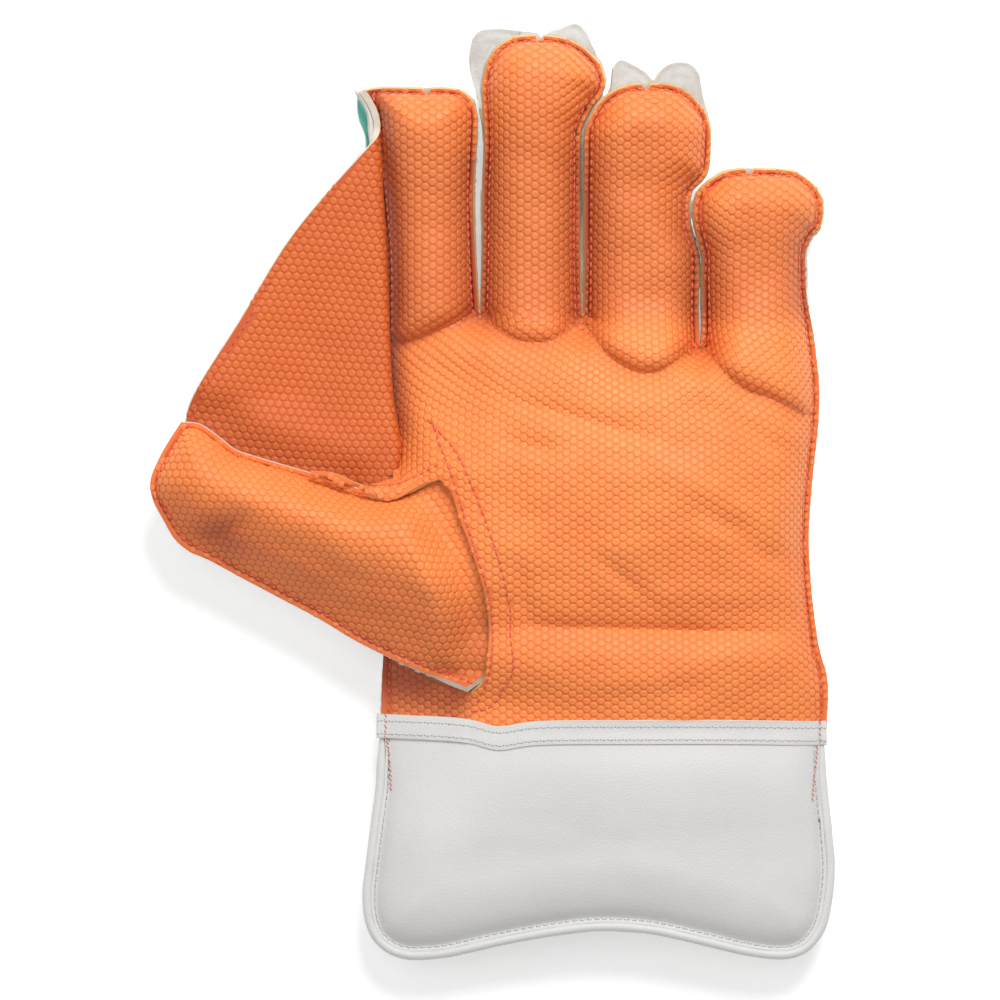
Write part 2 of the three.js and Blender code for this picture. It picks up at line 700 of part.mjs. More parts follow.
function insideFinger(finger, x, y) {
  const line = finger.outline;
  let inside = false;
  for (let i = 0, j = line.length - 1; i < line.length; j = i, i += 1) {
    const crosses = line[i].y > y !== line[j].y > y;
    const at = ((line[j].x - line[i].x) * (y - line[i].y)) / (line[j].y - line[i].y) + line[i].x;
    if (crosses && x < at) inside = !inside;
  }
  return inside;
}

// A finger's back: the outline of its facing, or of its lobes
function fingerBack(finger) {
  const lobes = ears[finger.name];
  const columns = lobes ? earColumns : backColumns;
  const { left, tip, right } = lobes ?? finger;
  const aside = 2 * clearance;
  const base = spread(
    point(finger.from.x + aside, finger.from.y + aside),
    point(finger.to.x - aside, finger.to.y + aside),
    columns,
  );
  const top = smooth(tip.map(finger.place), 48);
  const rows = patch(
    base,
    resample(top, columns),
    smooth([base[0], ...left.map(finger.place), top[0]], backRows),
    smooth([base.at(-1), ...right.map(finger.place), top.at(-1)], backRows),
  );
  const height = (x, y) => {
    const depth = insideFinger(finger, x, y) || y < finger.root * palmLength
      ? fingerBackDepth * puff(measureAt(x, y).distance) : 0;
    return Math.max(backSeamAt(x, y, finger) - wallGap * slopeAt(x, y, finger) - depth, leatherWall / 2);
  };
  return sheet(`finger_back_${finger.name}`, white, [rows], height, leatherWall / 2);
}

// The coloured strip along the index finger's outer edge, level with the finger's back
function sidePanel() {
  const shares = [0.12, 0.35, 0.55, 0.7, 0.8, 0.87, 0.93, 0.99];
  const inner = resample(index.leftLine, shares).map((at) => point(at.x - 2 * clearance, at.y));
  const widths = [0.35, 0.45, 0.55, 0.66, 0.6, 0.9, 0.75, 0.35];
  const outer = inner.map((at, i) => point(at.x - widths[i] * panelWidth, at.y));
  const rows = inner.map((at, i) => spread(outer[i], at, even(2)));
  const height = (x, y) => backSeamAt(x, y, index) - wallGap * slopeAt(x, y, index);
  return sheet('index_side_panel', teal, [rows], height, leatherWall / 2);
}

// Gauntlet: points as shares of the palm's width and of the gauntlet's length, from its seam down
const cuffTop = wristEdge * palmLength - clearance;
const onCuff = ([across, down]) => point(across * palmWidth, cuffTop - down * cuffLength);
const cuffLeft = [
  // across, down
  [0.002, 0], [-0.007, 0.125], [-0.011, 0.254], [-0.02, 0.384], [-0.031, 0.556], [-0.04, 0.707],
  [-0.036, 0.82], [-0.018, 0.91], [0.013, 0.966],
].map(onCuff);
const cuffBottom = [
  [0.056, 0.996], [0.112, 0.996], [0.161, 0.983], [0.268, 0.935], [0.402, 0.888], [0.491, 0.871],
  [0.603, 0.884], [0.714, 0.931], [0.815, 0.978], [0.882, 0.996], [0.926, 0.99],
].map(onCuff);
const cuffRight = [
  [1, 0], [0.998, 0.168], [1.004, 0.297], [1.013, 0.47], [1.018, 0.599], [1.011, 0.75], [0.996, 0.866],
  [0.964, 0.953],
].map(onCuff);

// The rim of the gauntlet from its left end round the foot to its right end, moved in by a distance
const rimSpans = 52;
const rim = smooth([...cuffLeft, ...cuffBottom, ...cuffRight.slice().reverse()], rimSpans);

function inset(line, distance) {
  return line.map((at, i) => {
    const before = line[Math.max(i - 1, 0)];
    const after = line[Math.min(i + 1, line.length - 1)];
    const along = after.clone().sub(before).normalize();
    return point(at.x - along.y * distance, at.y + along.x * distance);
  });
}

const cuffColumns = [0, 0.02, 0.06, 0.13, 0.22, 0.31, 0.4, 0.5, 0.6, 0.69, 0.78, 0.87, 0.94, 0.98, 1];
const cuffRowShares = [0, 0.05, 0.14, 0.3, 0.5, 0.7, 0.86, 0.95, 1];

function cuffPatch(line) {
  const corner = (down) => Math.round(rimSpans * down);
  const left = line.slice(0, corner(0.265) + 1).reverse();
  const foot = line.slice(corner(0.265), corner(0.735) + 1);
  const right = line.slice(corner(0.735));
  return patch(resample(foot, cuffColumns), resample([left.at(-1), right.at(-1)], cuffColumns),
    resample(left, cuffRowShares), resample(right, cuffRowShares));
}

// How far a point is inside the gauntlet's sides: none at them, 1 in the middle
function middleShare(x) {
  const away = Math.abs(x / palmWidth - 0.49) * 2;
  return Math.max(0, 1 - away * away);
}

// The gauntlet's front starts as high as the palm's wrist edge and flattens into a low arch
function cuffHeight(x, y) {
  const wrist = palmHeight(clamp(x, 0.002 * palmWidth, 0.998 * palmWidth), wristEdge * palmLength);
  const arch = seamHeight + pipingRadius + cuffArch * middleShare(x);
  return THREE.MathUtils.lerp(wrist, arch, ease(-1.6 * bindingWidth, -0.6 * cuffLength, y));
}

function cuffPuff(line, x, y) {
  const side = distanceTo([line], x, y);
  const top = Math.abs(y - cuffTop) - bindingWidth;
  return puff(Math.min(side, top), cuffSpan);
}

function cuffBackHeight(x, y) {
  const under = Math.min(cuffHeight(x, y), seamHeight + pipingRadius);
  const edge = under - pipingRadius - clearance - cuffEdge / 2 - cuffBackArch * middleShare(x);
  const floor = cuffEdge / 2 + cuffPadding;
  const side = distanceTo([rimInner], x, y);
  return THREE.MathUtils.lerp(edge, floor, puff(side, cuffSpan));
}

const rimInner = inset(rim, 2 * pipingRadius + clearance);
const rimMiddle = inset(rim, pipingRadius);

function piping() {
  const path = rimMiddle.filter((at) => at.y < -bindingWidth - clearance - pipingRadius)
    .map((at) => new THREE.Vector3(at.x, at.y, cuffHeight(at.x, at.y)));
  const round = new THREE.Shape();
  round.absarc(0, 0, pipingRadius, 0, 2 * Math.PI);
  const curve = new THREE.CatmullRomCurve3(path, false, 'centripetal');
  const options = { steps: 56, extrudePath: curve, curveSegments: 4, bevelEnabled: false };
  const geometry = new THREE.ExtrudeGeometry(round, options);
  return meshOf('cuff_piping', white, geometry);
}

// The folded strip over the joint of palm and gauntlet
function binding() {
  const columns = [0, 0.025, 0.1, 0.2, 0.27, 0.35, 0.46, 0.58, 0.7, 0.8, 0.9, 0.975, 1];
  const top = resample(smooth(palmLine([
    // across, along
    [0.001, 0.01], [0.194, 0], [0.263, -0.017], [0.34, -0.005], [0.58, -0.001], [0.79, -0.002],
    [1, -0.008],
  ]), 40), columns);
  const foot = top.map((at) => point(at.x, at.y - bindingWidth));
  const left = spread(foot[0], top[0], even(3));
  const rows = patch(foot, top, left, spread(foot.at(-1), top.at(-1), even(3)));
  const wall = cuffEdge / 2 + leatherWall / 2 + bindingGap;
  const height = (x, y) => {
    const at = Math.max(y, wristEdge * palmLength);
    const low = palmHeight(x - 1, at);
    const high = palmHeight(x + 1, at);
    return palmHeight(x, at) + wall * Math.hypot(1, (high - low) / 2);
  };
  return sheet('wrist_binding', white, [rows], height, leatherWall / 2);
}

const glove = new THREE.Group();
glove.add(sheet('palm_facing', orange, [...palmPatches(fingerColumns, 7, 8, 2), flangePatch,
  ...fingers.map((finger) => finger.rows)], palmHeight, facingWall / 2));
glove.add(sheet('hand_back', white, palmPatches(backColumns, 5, 5, 2), backHeight, leatherWall / 2));
for (const finger of fingers) glove.add(fingerBack(finger));
glove.add(sidePanel());
glove.add(sheet('thumb_facing', orange, [thumbPatch(thumbTuck, thumbUpper)], thumbHeight,
  facingWall / 2));
glove.add(sheet('thumb_back', white, [thumbPatch(thumbBackRoot, thumbBackUpper)], thumbBackHeight,
  leatherWall / 2));
glove.add(sheet('web_facing', orange, [webPatch(webCrest)], webHeight, facingWall / 2));
glove.add(sheet('web_backing', white, [webPatch(webBackCrest)], (x, y) => webHeight(x, y) - webBackDrop,
  leatherWall / 2));
glove.add(sheet('cuff_front', white, [cuffPatch(rimInner)], cuffHeight,
  (x, y) => cuffEdge / 2 + cuffCrown * cuffPuff(rimInner, x, y),
  (x, y) => cuffEdge / 2 + cuffPadding * cuffPuff(rimInner, x, y)));
glove.add(sheet('cuff_back', white, [cuffPatch(rimInner)], cuffBackHeight,
  (x, y) => cuffEdge / 2 + cuffPadding * cuffPuff(rimInner, x, y),
  (x, y) => cuffEdge / 2 + cuffPadding * cuffPuff(rimInner, x, y)));
glove.add(piping());
glove.add(binding());

// Stand the glove centred over the origin, on the ground
const box = new THREE.Box3().setFromObject(glove);
glove.position.set(-(box.min.x + box.max.x) / 2, -(box.min.y + box.max.y) / 2, -box.min.z);

export default glove;
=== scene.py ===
import math

import bpy
import numpy as np
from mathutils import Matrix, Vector, geometry, noise
from mathutils.bvhtree import BVHTree


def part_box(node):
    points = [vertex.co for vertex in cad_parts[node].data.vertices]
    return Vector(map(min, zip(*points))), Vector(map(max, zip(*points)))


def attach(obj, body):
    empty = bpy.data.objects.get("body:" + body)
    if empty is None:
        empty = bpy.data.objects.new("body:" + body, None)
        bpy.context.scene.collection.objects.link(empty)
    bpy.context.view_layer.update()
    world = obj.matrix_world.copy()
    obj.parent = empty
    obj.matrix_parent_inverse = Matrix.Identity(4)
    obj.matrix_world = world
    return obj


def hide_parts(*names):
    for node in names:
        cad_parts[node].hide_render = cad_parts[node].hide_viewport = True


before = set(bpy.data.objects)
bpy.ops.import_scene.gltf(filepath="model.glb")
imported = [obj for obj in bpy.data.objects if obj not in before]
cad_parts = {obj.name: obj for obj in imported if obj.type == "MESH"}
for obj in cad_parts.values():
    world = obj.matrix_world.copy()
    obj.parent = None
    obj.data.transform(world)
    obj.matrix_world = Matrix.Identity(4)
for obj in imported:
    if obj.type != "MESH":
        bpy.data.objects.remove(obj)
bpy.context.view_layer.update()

# A left-hand wicketkeeping glove on its back, palm up. Its plan is drawn in millimetres, with X from the
# heel's outer edge and Y from the wrist, and a piece is put in the frame's metres when its mesh is made.

# Palm and its leather back
PALM_WIDTH = 145
PALM_LENGTH = 130.5
PALM_DEPTH = 38
SEAM_HEIGHT = 13
INDEX_SIDE_DROP = 2.5
FACING_WALL = 2
LEATHER_WALL = 1.5
CLEARANCE = 0.35
WALL_GAP = (FACING_WALL + LEATHER_WALL) / 2 + CLEARANCE
LIP_WIDTH = 2.6
CROWN_SPAN = 12
WRIST_EDGE = -0.025

# Fingers
FINGER_SPACING = 3
FINGER_WIDTH = (PALM_WIDTH - 3 * FINGER_SPACING) / 4
FINGER_LIFT = 12
FINGER_CROWN = 12
FINGER_BACK_DEPTH = 12
PANEL_WIDTH = 5.5

# Thumb and web
THUMB_LENGTH = 107
THUMB_WIDTH = 67.5
THUMB_LEAN = math.radians(19.5)
THUMB_SEAM = 22
THUMB_CROWN = 17
THUMB_BACK_DEPTH = 22
THUMB_BACK_DROP = 2.55
TUCK_DROP = 3.4
TUCK_WIDTH = 18
FLANGE_RISE = 6.5
WEB_RISE = 6
WEB_SAG = 3
CREST_WIDTH = 3
FOOT_DROP = 3.4
CREST_INSET = 3.3
WEB_BACK_DROP = 2.65
THUMB_BACK_HIDDEN = 0.9
THUMB_BACK_SHOWN = 0.3

# Gauntlet
CUFF_LENGTH = 75
CUFF_EDGE = 2
CUFF_CROWN = 6
CUFF_PADDING = 2.5
CUFF_SPAN = 18
CUFF_ARCH = 4.5
CUFF_BACK_ARCH = 7
PIPING_RADIUS = 1.6
CUFF_SEAM_INSET = 4.1
BINDING_WIDTH = 8
BINDING_WALL = 0.7
UNDER_STRIP = BINDING_WALL / 2 + 0.08

# Surface work
RUBBER_STEP = 1.35
LEATHER_STEP = 2.2
CUFF_STEP = 1.5
LOBE_STEP = 1.1
SKIVE = 0.55
GROOVE_DEPTH = 0.25
GROOVE_WIDTH = 0.8
PIMPLE_FOOT = 1.29
PIMPLE_HEAD = 1.16
PIMPLE_HEIGHT = 0.18
PIMPLE_DIMPLE = 0.05
PIMPLE_ALONG = 2.7
PIMPLE_ACROSS = 2.27
EDGE_ROOM = 0.7
STITCH_ROOM = 0.35
LATTICE = 160
FINGERS_START = 0.97
CROWN_POWER = 0.72
PIMPLE_SIDES = 9
# Painted shade: the tint that darkens and browns the rubber where its shading is painted into the colour
PAINTED_SHADE_TINT = (0.5, 0.37, 0.46, 1)

# Floor, light and camera
FLOOR_GLOW = 0.25
WORLD_LIGHT = 0.5
CAMERA_HEIGHT = 1.5
FRAME_WIDTH = 0.3237
SUBJECT_LEVEL = 0.018
SUBJECT_CENTRE = (0.0024, -0.00225)
SENSOR_WIDTH = 36


# Lines and fields in plan

def ease(start, end, value):
    t = np.clip((np.asarray(value, float) - start) / (end - start), 0, 1)
    return t * t * (3 - 2 * t)


def lengths(line):
    steps = np.hypot(*np.diff(line, axis=0).T)
    return np.concatenate([[0], np.cumsum(steps)])


def resample(line, shares):
    """The line's points at these shares of its length."""
    sums = lengths(line)
    at = np.asarray(shares) * sums[-1]
    return np.column_stack([np.interp(at, sums, line[:, k]) for k in range(line.shape[1])])


def spaced(line, step):
    """The line cut into even spans of about a length."""
    spans = max(1, round(lengths(line)[-1] / step))
    return resample(line, np.linspace(0, 1, spans + 1))


def spline(points):
    """A smooth centripetal line through the points, finely cut."""
    p = np.asarray(points, float)
    if len(p) == 2:
        return p
    p = np.vstack([2 * p[0] - p[1], p, 2 * p[-1] - p[-2]])
    t = np.linspace(0, 1, 9)[:, None]
    parts = []
    for a, b, c, d in zip(p[:-3], p[1:-2], p[2:-1], p[3:]):
        ab, bc, cd = (max(np.hypot(*(v - u)), 1e-9) ** 0.5 for u, v in ((a, b), (b, c), (c, d)))
        start = ((b - a) / ab - (c - a) / (ab + bc) + (c - b) / bc) * bc
        end = ((c - b) / bc - (d - b) / (bc + cd) + (d - c) / cd) * bc
        parts.append((2 * t ** 3 - 3 * t ** 2 + 1) * b + (t ** 3 - 2 * t ** 2 + t) * start
                     + (3 * t ** 2 - 2 * t ** 3) * c + (t ** 3 - t ** 2) * end)
    return np.vstack([parts[0], *[part[1:] for part in parts[1:]]])


def chain(*lines):
    """Lines joined end to start, without the doubled points."""
    return np.vstack([lines[0], *[line[1:] for line in lines[1:]]])


def inward(line, distance):
    """A line moved to its left."""
    along = np.gradient(line, axis=0)
    along /= np.maximum(np.hypot(*along.T), 1e-9)[:, None]
    return line + np.column_stack([-along[:, 1], along[:, 0]]) * np.reshape(distance, (-1, 1))


def distance(lines, at):
    """Distance in plan from each point to the nearest of some lines."""
    starts = np.vstack([line[:-1] for line in lines])
    steps = np.vstack([np.diff(line, axis=0) for line in lines])
    squares = np.maximum((steps ** 2).sum(1), 1e-9)
    out = np.empty(len(at))
    for low in range(0, len(at), 2000):
        some = at[low:low + 2000, None] - starts
        t = np.clip((some * steps).sum(2) / squares, 0, 1)
        out[low:low + 2000] = np.sqrt(((some - t[..., None] * steps) ** 2).sum(2).min(1))
    return out


def inside(ring, at):
    """Whether each point lies within a closed line."""
    a, b = ring[:-1], ring[1:]
    out = np.empty(len(at), bool)
    for low in range(0, len(at), 2000):
        x, y = at[low:low + 2000, :1], at[low:low + 2000, 1:]
        crosses = (a[:, 1] > y) != (b[:, 1] > y)
        rise = np.where(b[:, 1] == a[:, 1], 1, b[:, 1] - a[:, 1])
        left = x < (b[:, 0] - a[:, 0]) * (y - a[:, 1]) / rise + a[:, 0]
        out[low:low + 2000] = (crosses & left).sum(1) % 2 == 1
    return out


def puff(away, span=CROWN_SPAN):
    """How far a padded sheet has risen at a distance from its seam: flat on the lip, then round."""
    t = np.clip((away - LIP_WIDTH) / span, 0, 1)
    return (1 - (1 - t) ** 2) ** CROWN_POWER


def section(table, place):
    """Values read smoothly from a table of rows [place, value, value ...]."""
    table = np.asarray(table, float)
    i = np.clip(np.searchsorted(table[:, 0], place) - 1, 0, len(table) - 2)
    t = np.clip((place - table[i, 0]) / (table[i + 1, 0] - table[i, 0]), 0, 1)[:, None]
    here, after = table[i, 1:], table[i + 1, 1:]
    slope = (after - table[np.maximum(i - 1, 0), 1:]) / 2
    next_slope = (table[np.minimum(i + 2, len(table) - 1), 1:] - here) / 2
    a = 2 * here - 2 * after + slope + next_slope
    b = 3 * after - 3 * here - 2 * slope - next_slope
    return ((a * t + b) * t + slope) * t + here


def ripple(at, size, seed, stretch=(1, 1)):
    """Soft noise from about -1 to 1, with bumps of about a size."""
    scaled = at * np.asarray(stretch, float) / size
    return np.array([noise.noise(Vector((x, y, seed))) for x, y in scaled]) * 1.6


# The palm's plan: shares of its width, from the heel's outer edge, and of its length, from the wrist

def on_palm(*rows):
    return np.array(rows, float) * (PALM_WIDTH, PALM_LENGTH)


index_outer, crotch_index, crotch_middle, crotch_ring, little_outer = on_palm(
    (0.01, 0.963), (0.223, 1.008), (0.453, 1), (0.716, 0.926), (0.967, 0.975))
flange_root_top, flange_root_foot, flange_end_top, flange_end_foot = on_palm(
    (0.03, 0.59), (0.009, 0.536), (-0.154, 0.613), (-0.147, 0.596))

palm_side = spline(on_palm(
    (1, -0.025), (1.002, 0.09), (0.982, 0.181), (0.966, 0.318), (0.96, 0.454), (0.969, 0.6), (0.982, 0.74),
    (0.983, 0.83), (0.972, 0.938), (0.967, 0.975)))
cut_line = spline(on_palm(
    (0.203, 0.072), (0.229, 0.097), (0.239, 0.171), (0.241, 0.243), (0.232, 0.31), (0.21, 0.395),
    (0.174, 0.504), (0.158, 0.559), (0.134, 0.589)))
index_side = spline(on_palm(
    (0.03, 0.59), (0.026, 0.625), (0.026, 0.665), (0.022, 0.715), (0.016, 0.79), (0.011, 0.89),
    (0.01, 0.963)))
flange_foot_line = spline(on_palm(
    (0.009, 0.536), (0.038, 0.543), (0.071, 0.561), (0.107, 0.581), (0.134, 0.589)))
heel_edge = spline(on_palm((0, WRIST_EDGE), (0.003, 0.09), (0.007, 0.172)))
heel_top = spline(on_palm((0.007, 0.172), (0.08, 0.122), (0.134, 0.094), (0.203, 0.072)))
flange_top = spline(on_palm((-0.154, 0.613), (-0.098, 0.608), (-0.054, 0.586), (-0.022, 0.576), (0.03, 0.59)))
flange_foot = spline(on_palm(
    (-0.147, 0.596), (-0.116, 0.585), (-0.067, 0.567), (-0.051, 0.573), (-0.031, 0.553), (0.009, 0.536)))
wrist_line = on_palm((1, WRIST_EDGE), (0, WRIST_EDGE))

# Fingers: shares of the finger's length from its root, and of its width off its centre line
FINGERS = {
    "index": {
        "centre": 0.107, "root": 1.007, "length": 72.5, "start": index_outer, "end": crotch_index,
        "roll": 0,
        "left": [(0.277, -0.42), (0.527, -0.47), (0.723, -0.51), (0.866, -0.53), (0.94, -0.59)],
        "right": [(0.277, 0.462), (0.527, 0.447), (0.7, 0.465), (0.8, 0.475), (0.87, 0.478)],
        "tip": [(0.985, -0.64), (1, -0.46), (1, -0.154), (0.998, -0.01), (1, 0.13), (0.985, 0.33),
                (0.94, 0.44)],
        "notch": -0.01,
    },
    "middle": {
        "centre": 0.339, "root": 1.003, "length": 89.5, "start": crotch_index, "end": crotch_middle,
        "roll": 1.5,
        "left": [(0.25, -0.48), (0.45, -0.475), (0.62, -0.46), (0.75, -0.475), (0.815, -0.482)],
        "right": [(0.23, 0.473), (0.45, 0.474), (0.62, 0.474), (0.661, 0.48), (0.726, 0.554), (0.758, 0.605),
                  (0.79, 0.67), (0.83, 0.705)],
        "tip": [(0.9, -0.44), (0.955, -0.345), (0.995, -0.17), (1.002, 0.01), (1.002, 0.076), (1.002, 0.145),
                (0.99, 0.33), (0.955, 0.51), (0.9, 0.66)],
        "notch": 0.076,
    },
    "ring": {
        "centre": 0.585, "root": 0.963, "length": 79.5, "start": crotch_middle, "end": crotch_ring,
        "roll": 3,
        "left": [(0.3, -0.558), (0.55, -0.56), (0.7, -0.558), (0.81, -0.55), (0.88, -0.48)],
        "right": [(0.1, 0.545), (0.183, 0.552), (0.285, 0.552), (0.345, 0.53), (0.4, 0.483), (0.45, 0.465),
                  (0.517, 0.462), (0.57, 0.495), (0.61, 0.59), (0.65, 0.64), (0.75, 0.66), (0.815, 0.66)],
        "tip": [(0.915, -0.433), (0.965, -0.3), (0.995, -0.12), (1, -0.02), (1, 0.08), (1, 0.25),
                (0.973, 0.42), (0.93, 0.53), (0.88, 0.62)],
        "notch": 0.03,
    },
    "little": {
        "centre": 0.844, "root": 0.95, "length": 54, "start": crotch_ring, "end": little_outer,
        "roll": 3,
        "left": [(0.1, -0.536), (0.35, -0.541), (0.47, -0.543), (0.56, -0.578), (0.65, -0.615),
                 (0.76, -0.628), (0.86, -0.585)],
        "right": [(0.21, 0.485), (0.38, 0.468), (0.5, 0.47), (0.58, 0.52), (0.64, 0.6), (0.7, 0.63),
                  (0.775, 0.635), (0.83, 0.62)],
        "tip": [(0.925, -0.48), (0.98, -0.33), (1, -0.16), (1, -0.02), (1, 0.14), (0.99, 0.33), (0.95, 0.46),
                (0.89, 0.565)],
        "notch": -0.09,
    },
}
NOTCH_HALF_WIDTH = 1.1
NOTCH_DEPTH = 2.5


def on_finger(finger, rows):
    rows = np.asarray(rows, float)
    return np.column_stack([
        finger["centre"] * PALM_WIDTH + rows[:, 1] * FINGER_WIDTH,
        finger["root"] * PALM_LENGTH + rows[:, 0] * finger["length"],
    ])


def notched(finger, line):
    """The line over a fingertip, with a small notch cut at the middle seam."""
    centre = finger["centre"] * PALM_WIDTH + finger["notch"] * FINGER_WIDTH
    k = np.argmin(np.abs(line[:, 0] - centre))
    bottom = np.array([centre, line[k, 1] - NOTCH_DEPTH])
    keep = np.abs(line[:, 0] - centre) > NOTCH_HALF_WIDTH
    return np.vstack([line[:k][keep[:k]], bottom, line[k:][keep[k:]]])


for finger in FINGERS.values():
    tip = on_finger(finger, finger["tip"])
    finger["left_line"] = spline(np.vstack([finger["start"], on_finger(finger, finger["left"]), tip[0]]))
    finger["right_line"] = spline(np.vstack([finger["end"], on_finger(finger, finger["right"]), tip[-1]]))
    finger["tip_line"] = spline(tip)
    left, over, right = finger["left_line"], finger["tip_line"], finger["right_line"][::-1]
    finger["outline"] = chain(left, over, right)
    finger["cut"] = chain(left, notched(finger, over), right)

palm_seams = [heel_edge, palm_side, index_side, flange_top]

# Heights of the palm as shares of its depth, at five places across it
PALM_SECTIONS = [
    # along, heel edge, quarter, middle, three quarters, far edge
    (-0.025, 0.36, 0.58, 0.68, 0.65, 0.48),
    (0.045, 0.36, 0.58, 0.72, 0.7, 0.51),
    (0.144, 0.44, 0.74, 0.81, 0.78, 0.55),
    (0.223, 0.58, 0.75, 0.76, 0.73, 0.55),
    (0.318, 0.68, 0.84, 0.85, 0.81, 0.6),
    (0.442, 0.74, 0.9, 0.96, 0.92, 0.66),
    (0.59, 0.72, 0.91, 1, 0.97, 0.71),
    (0.74, 0.57, 0.82, 0.93, 0.9, 0.71),
    (0.863, 0.53, 0.75, 0.86, 0.87, 0.71),
    (1, 0.6, 0.72, 0.78, 0.82, 0.74),
]

# Folds of the palm side
FOLDS = [
    # across, along, turn in degrees, half length, half width, height as a share of palm depth
    (0.592, 0.223, -2, 0.27, 0.018, -0.05),
    (0.442, 0.739, -16, 0.167, 0.022, -0.04),
    (0.49, 0.8, -15, 0.15, 0.03, 0.018),
    (0.815, 0.715, -30, 0.12, 0.025, -0.035),
    (0.328, 0.672, -8, 0.06, 0.02, -0.03),
    (0.547, 0.342, -40, 0.08, 0.022, -0.03),
    (0.815, 0.44, -35, 0.13, 0.03, -0.035),
    (0.69, 0.59, -30, 0.14, 0.03, 0.022),
    (0.319, 0.318, -80, 0.08, 0.02, -0.025),
    (0.6, 0.1, 6, 0.12, 0.03, 0.018),
]

# The creases where the fingers' padding ends: points across and along, and a depth in millimetres
CREASES = [
    (((0.015, 0.93), (0.058, 0.935), (0.1, 0.95), (0.138, 0.968), (0.175, 0.987), (0.2, 1.012)), 4.8),
    (((0.237, 1.0), (0.262, 0.963), (0.3, 0.938), (0.345, 0.93), (0.39, 0.937), (0.432, 0.985)), 3.4),
    (((0.468, 0.955), (0.513, 0.895), (0.57, 0.859), (0.626, 0.862), (0.683, 0.905)), 4.2),
    (((0.728, 0.91), (0.763, 0.859), (0.815, 0.814), (0.866, 0.794), (0.926, 0.76)), 4),
]
CREASE_STEEP = 2.2
CREASE_SOFT = 6
CREASE_BULGE = 0.08

# Folds of the thumb
THUMB_FOLDS = [
    # the same columns as the palm's folds
    (-0.346, 0.467, 27, 0.075, 0.026, -0.06),
    (-0.15, 0.405, -28, 0.15, 0.03, -0.025),
    (0.07, 0.3, -40, 0.1, 0.03, -0.012),
]


def folds_at(at, table=FOLDS):
    total = np.zeros(len(at))
    for across, along, turn, half_length, half_width, height in table:
        d = at - (across * PALM_WIDTH, along * PALM_LENGTH)
        angle = math.radians(turn)
        u = (d[:, 0] * math.cos(angle) + d[:, 1] * math.sin(angle)) / (half_length * PALM_WIDTH)
        v = (d[:, 1] * math.cos(angle) - d[:, 0] * math.sin(angle)) / (half_width * PALM_WIDTH)
        total += height * PALM_DEPTH * np.exp(-u ** 4 - v * v)
    return total


crease_lines = [(spline(on_palm(*points)), depth) for points, depth in CREASES]


def creases_at(at):
    """The fingers' padding ends steeply above a crease, and the palm comes up softly below it."""
    total = np.zeros(len(at))
    for line, depth in crease_lines:
        away = distance([line], at)
        above = at[:, 1] > np.interp(at[:, 0], line[:, 0], line[:, 1])
        total -= depth * np.exp(-(away / np.where(above, CREASE_STEEP, CREASE_SOFT)) ** 1.6)
        total += above * depth * CREASE_BULGE * np.exp(-((away - 6) / 4) ** 2)
    return total


REACH = FINGERS["middle"]["root"] * PALM_LENGTH + FINGERS["middle"]["length"]
LIFT_START = 0.8 * PALM_LENGTH


def lift_at(at):
    return FINGER_LIFT * np.clip((at[:, 1] - LIFT_START) / (REACH - LIFT_START), 0, 1) ** 1.4


def roll_of(finger, at):
    along = (at[:, 1] / PALM_LENGTH - finger["root"]) * (PALM_LENGTH / finger["length"])
    across = (at[:, 0] - finger["centre"] * PALM_WIDTH) / (FINGER_WIDTH / 2)
    return -finger["roll"] * np.clip(across, -1, 1) * ease(0.1, 0.7, along)


def measured(at):
    """Distance to the nearest seam of the palm or a finger, and the roll of the finger that a point is in."""
    away = distance(palm_seams, at)
    roll = np.zeros(len(at))
    nearest = np.full(len(at), np.inf)
    for finger in FINGERS.values():
        to = distance([finger["outline"]], at)
        owner = (to < nearest) & (at[:, 1] > 0.85 * PALM_LENGTH)
        roll[owner] = roll_of(finger, at)[owner]
        nearest = np.minimum(nearest, to)
    return np.minimum(away, nearest), roll


def seam_at(at, roll):
    """Height of the facing's seams: the back's level, and a rise where the flange crosses the thumb."""
    across, along = at[:, 0] / PALM_WIDTH, at[:, 1] / PALM_LENGTH
    rise = np.maximum(ease(0.65, 0.555, along), ease(0.02, -0.03, across))
    span = ease(0.2, 0.4, along) * (1 - ease(0.7, 0.75, along))
    crotch = (1 - ease(0.12, 0.3, across)) * rise * span
    index_side_drop = INDEX_SIDE_DROP * (1 - ease(0, 0.07, across))
    beside_web = index_side_drop * ease(0.62, 0.72, along) * (1 - ease(1.25, 1.45, along))
    return SEAM_HEIGHT + lift_at(at) + roll + crotch * (THUMB_SEAM + FLANGE_RISE - SEAM_HEIGHT) - beside_web


def palm_crown(at, seam):
    across = np.clip(at[:, 0] / PALM_WIDTH, 0, 1) * 4
    rows = section(PALM_SECTIONS, at[:, 1] / PALM_LENGTH)
    k = np.clip(np.floor(across).astype(int), 0, 3)
    t = across - k
    n = np.arange(len(at))
    here, after = rows[n, k], rows[n, k + 1]
    slope = (after - rows[n, np.maximum(k - 1, 0)]) / 2
    next_slope = (rows[n, np.minimum(k + 2, 4)] - here) / 2
    a = 2 * here - 2 * after + slope + next_slope
    b = 3 * after - 3 * here - 2 * slope - next_slope
    palm = (((a * t + b) * t + slope) * t + here) * PALM_DEPTH
    along = at[:, 1] / PALM_LENGTH
    wave = np.sin(2 * math.pi * np.clip((along - 1) * 1.4, 0, 1))
    finger = seam + FINGER_CROWN * (1 - 0.12 * wave)
    blend = ease(0.9, 1.06, along)
    return palm + (finger - palm) * blend


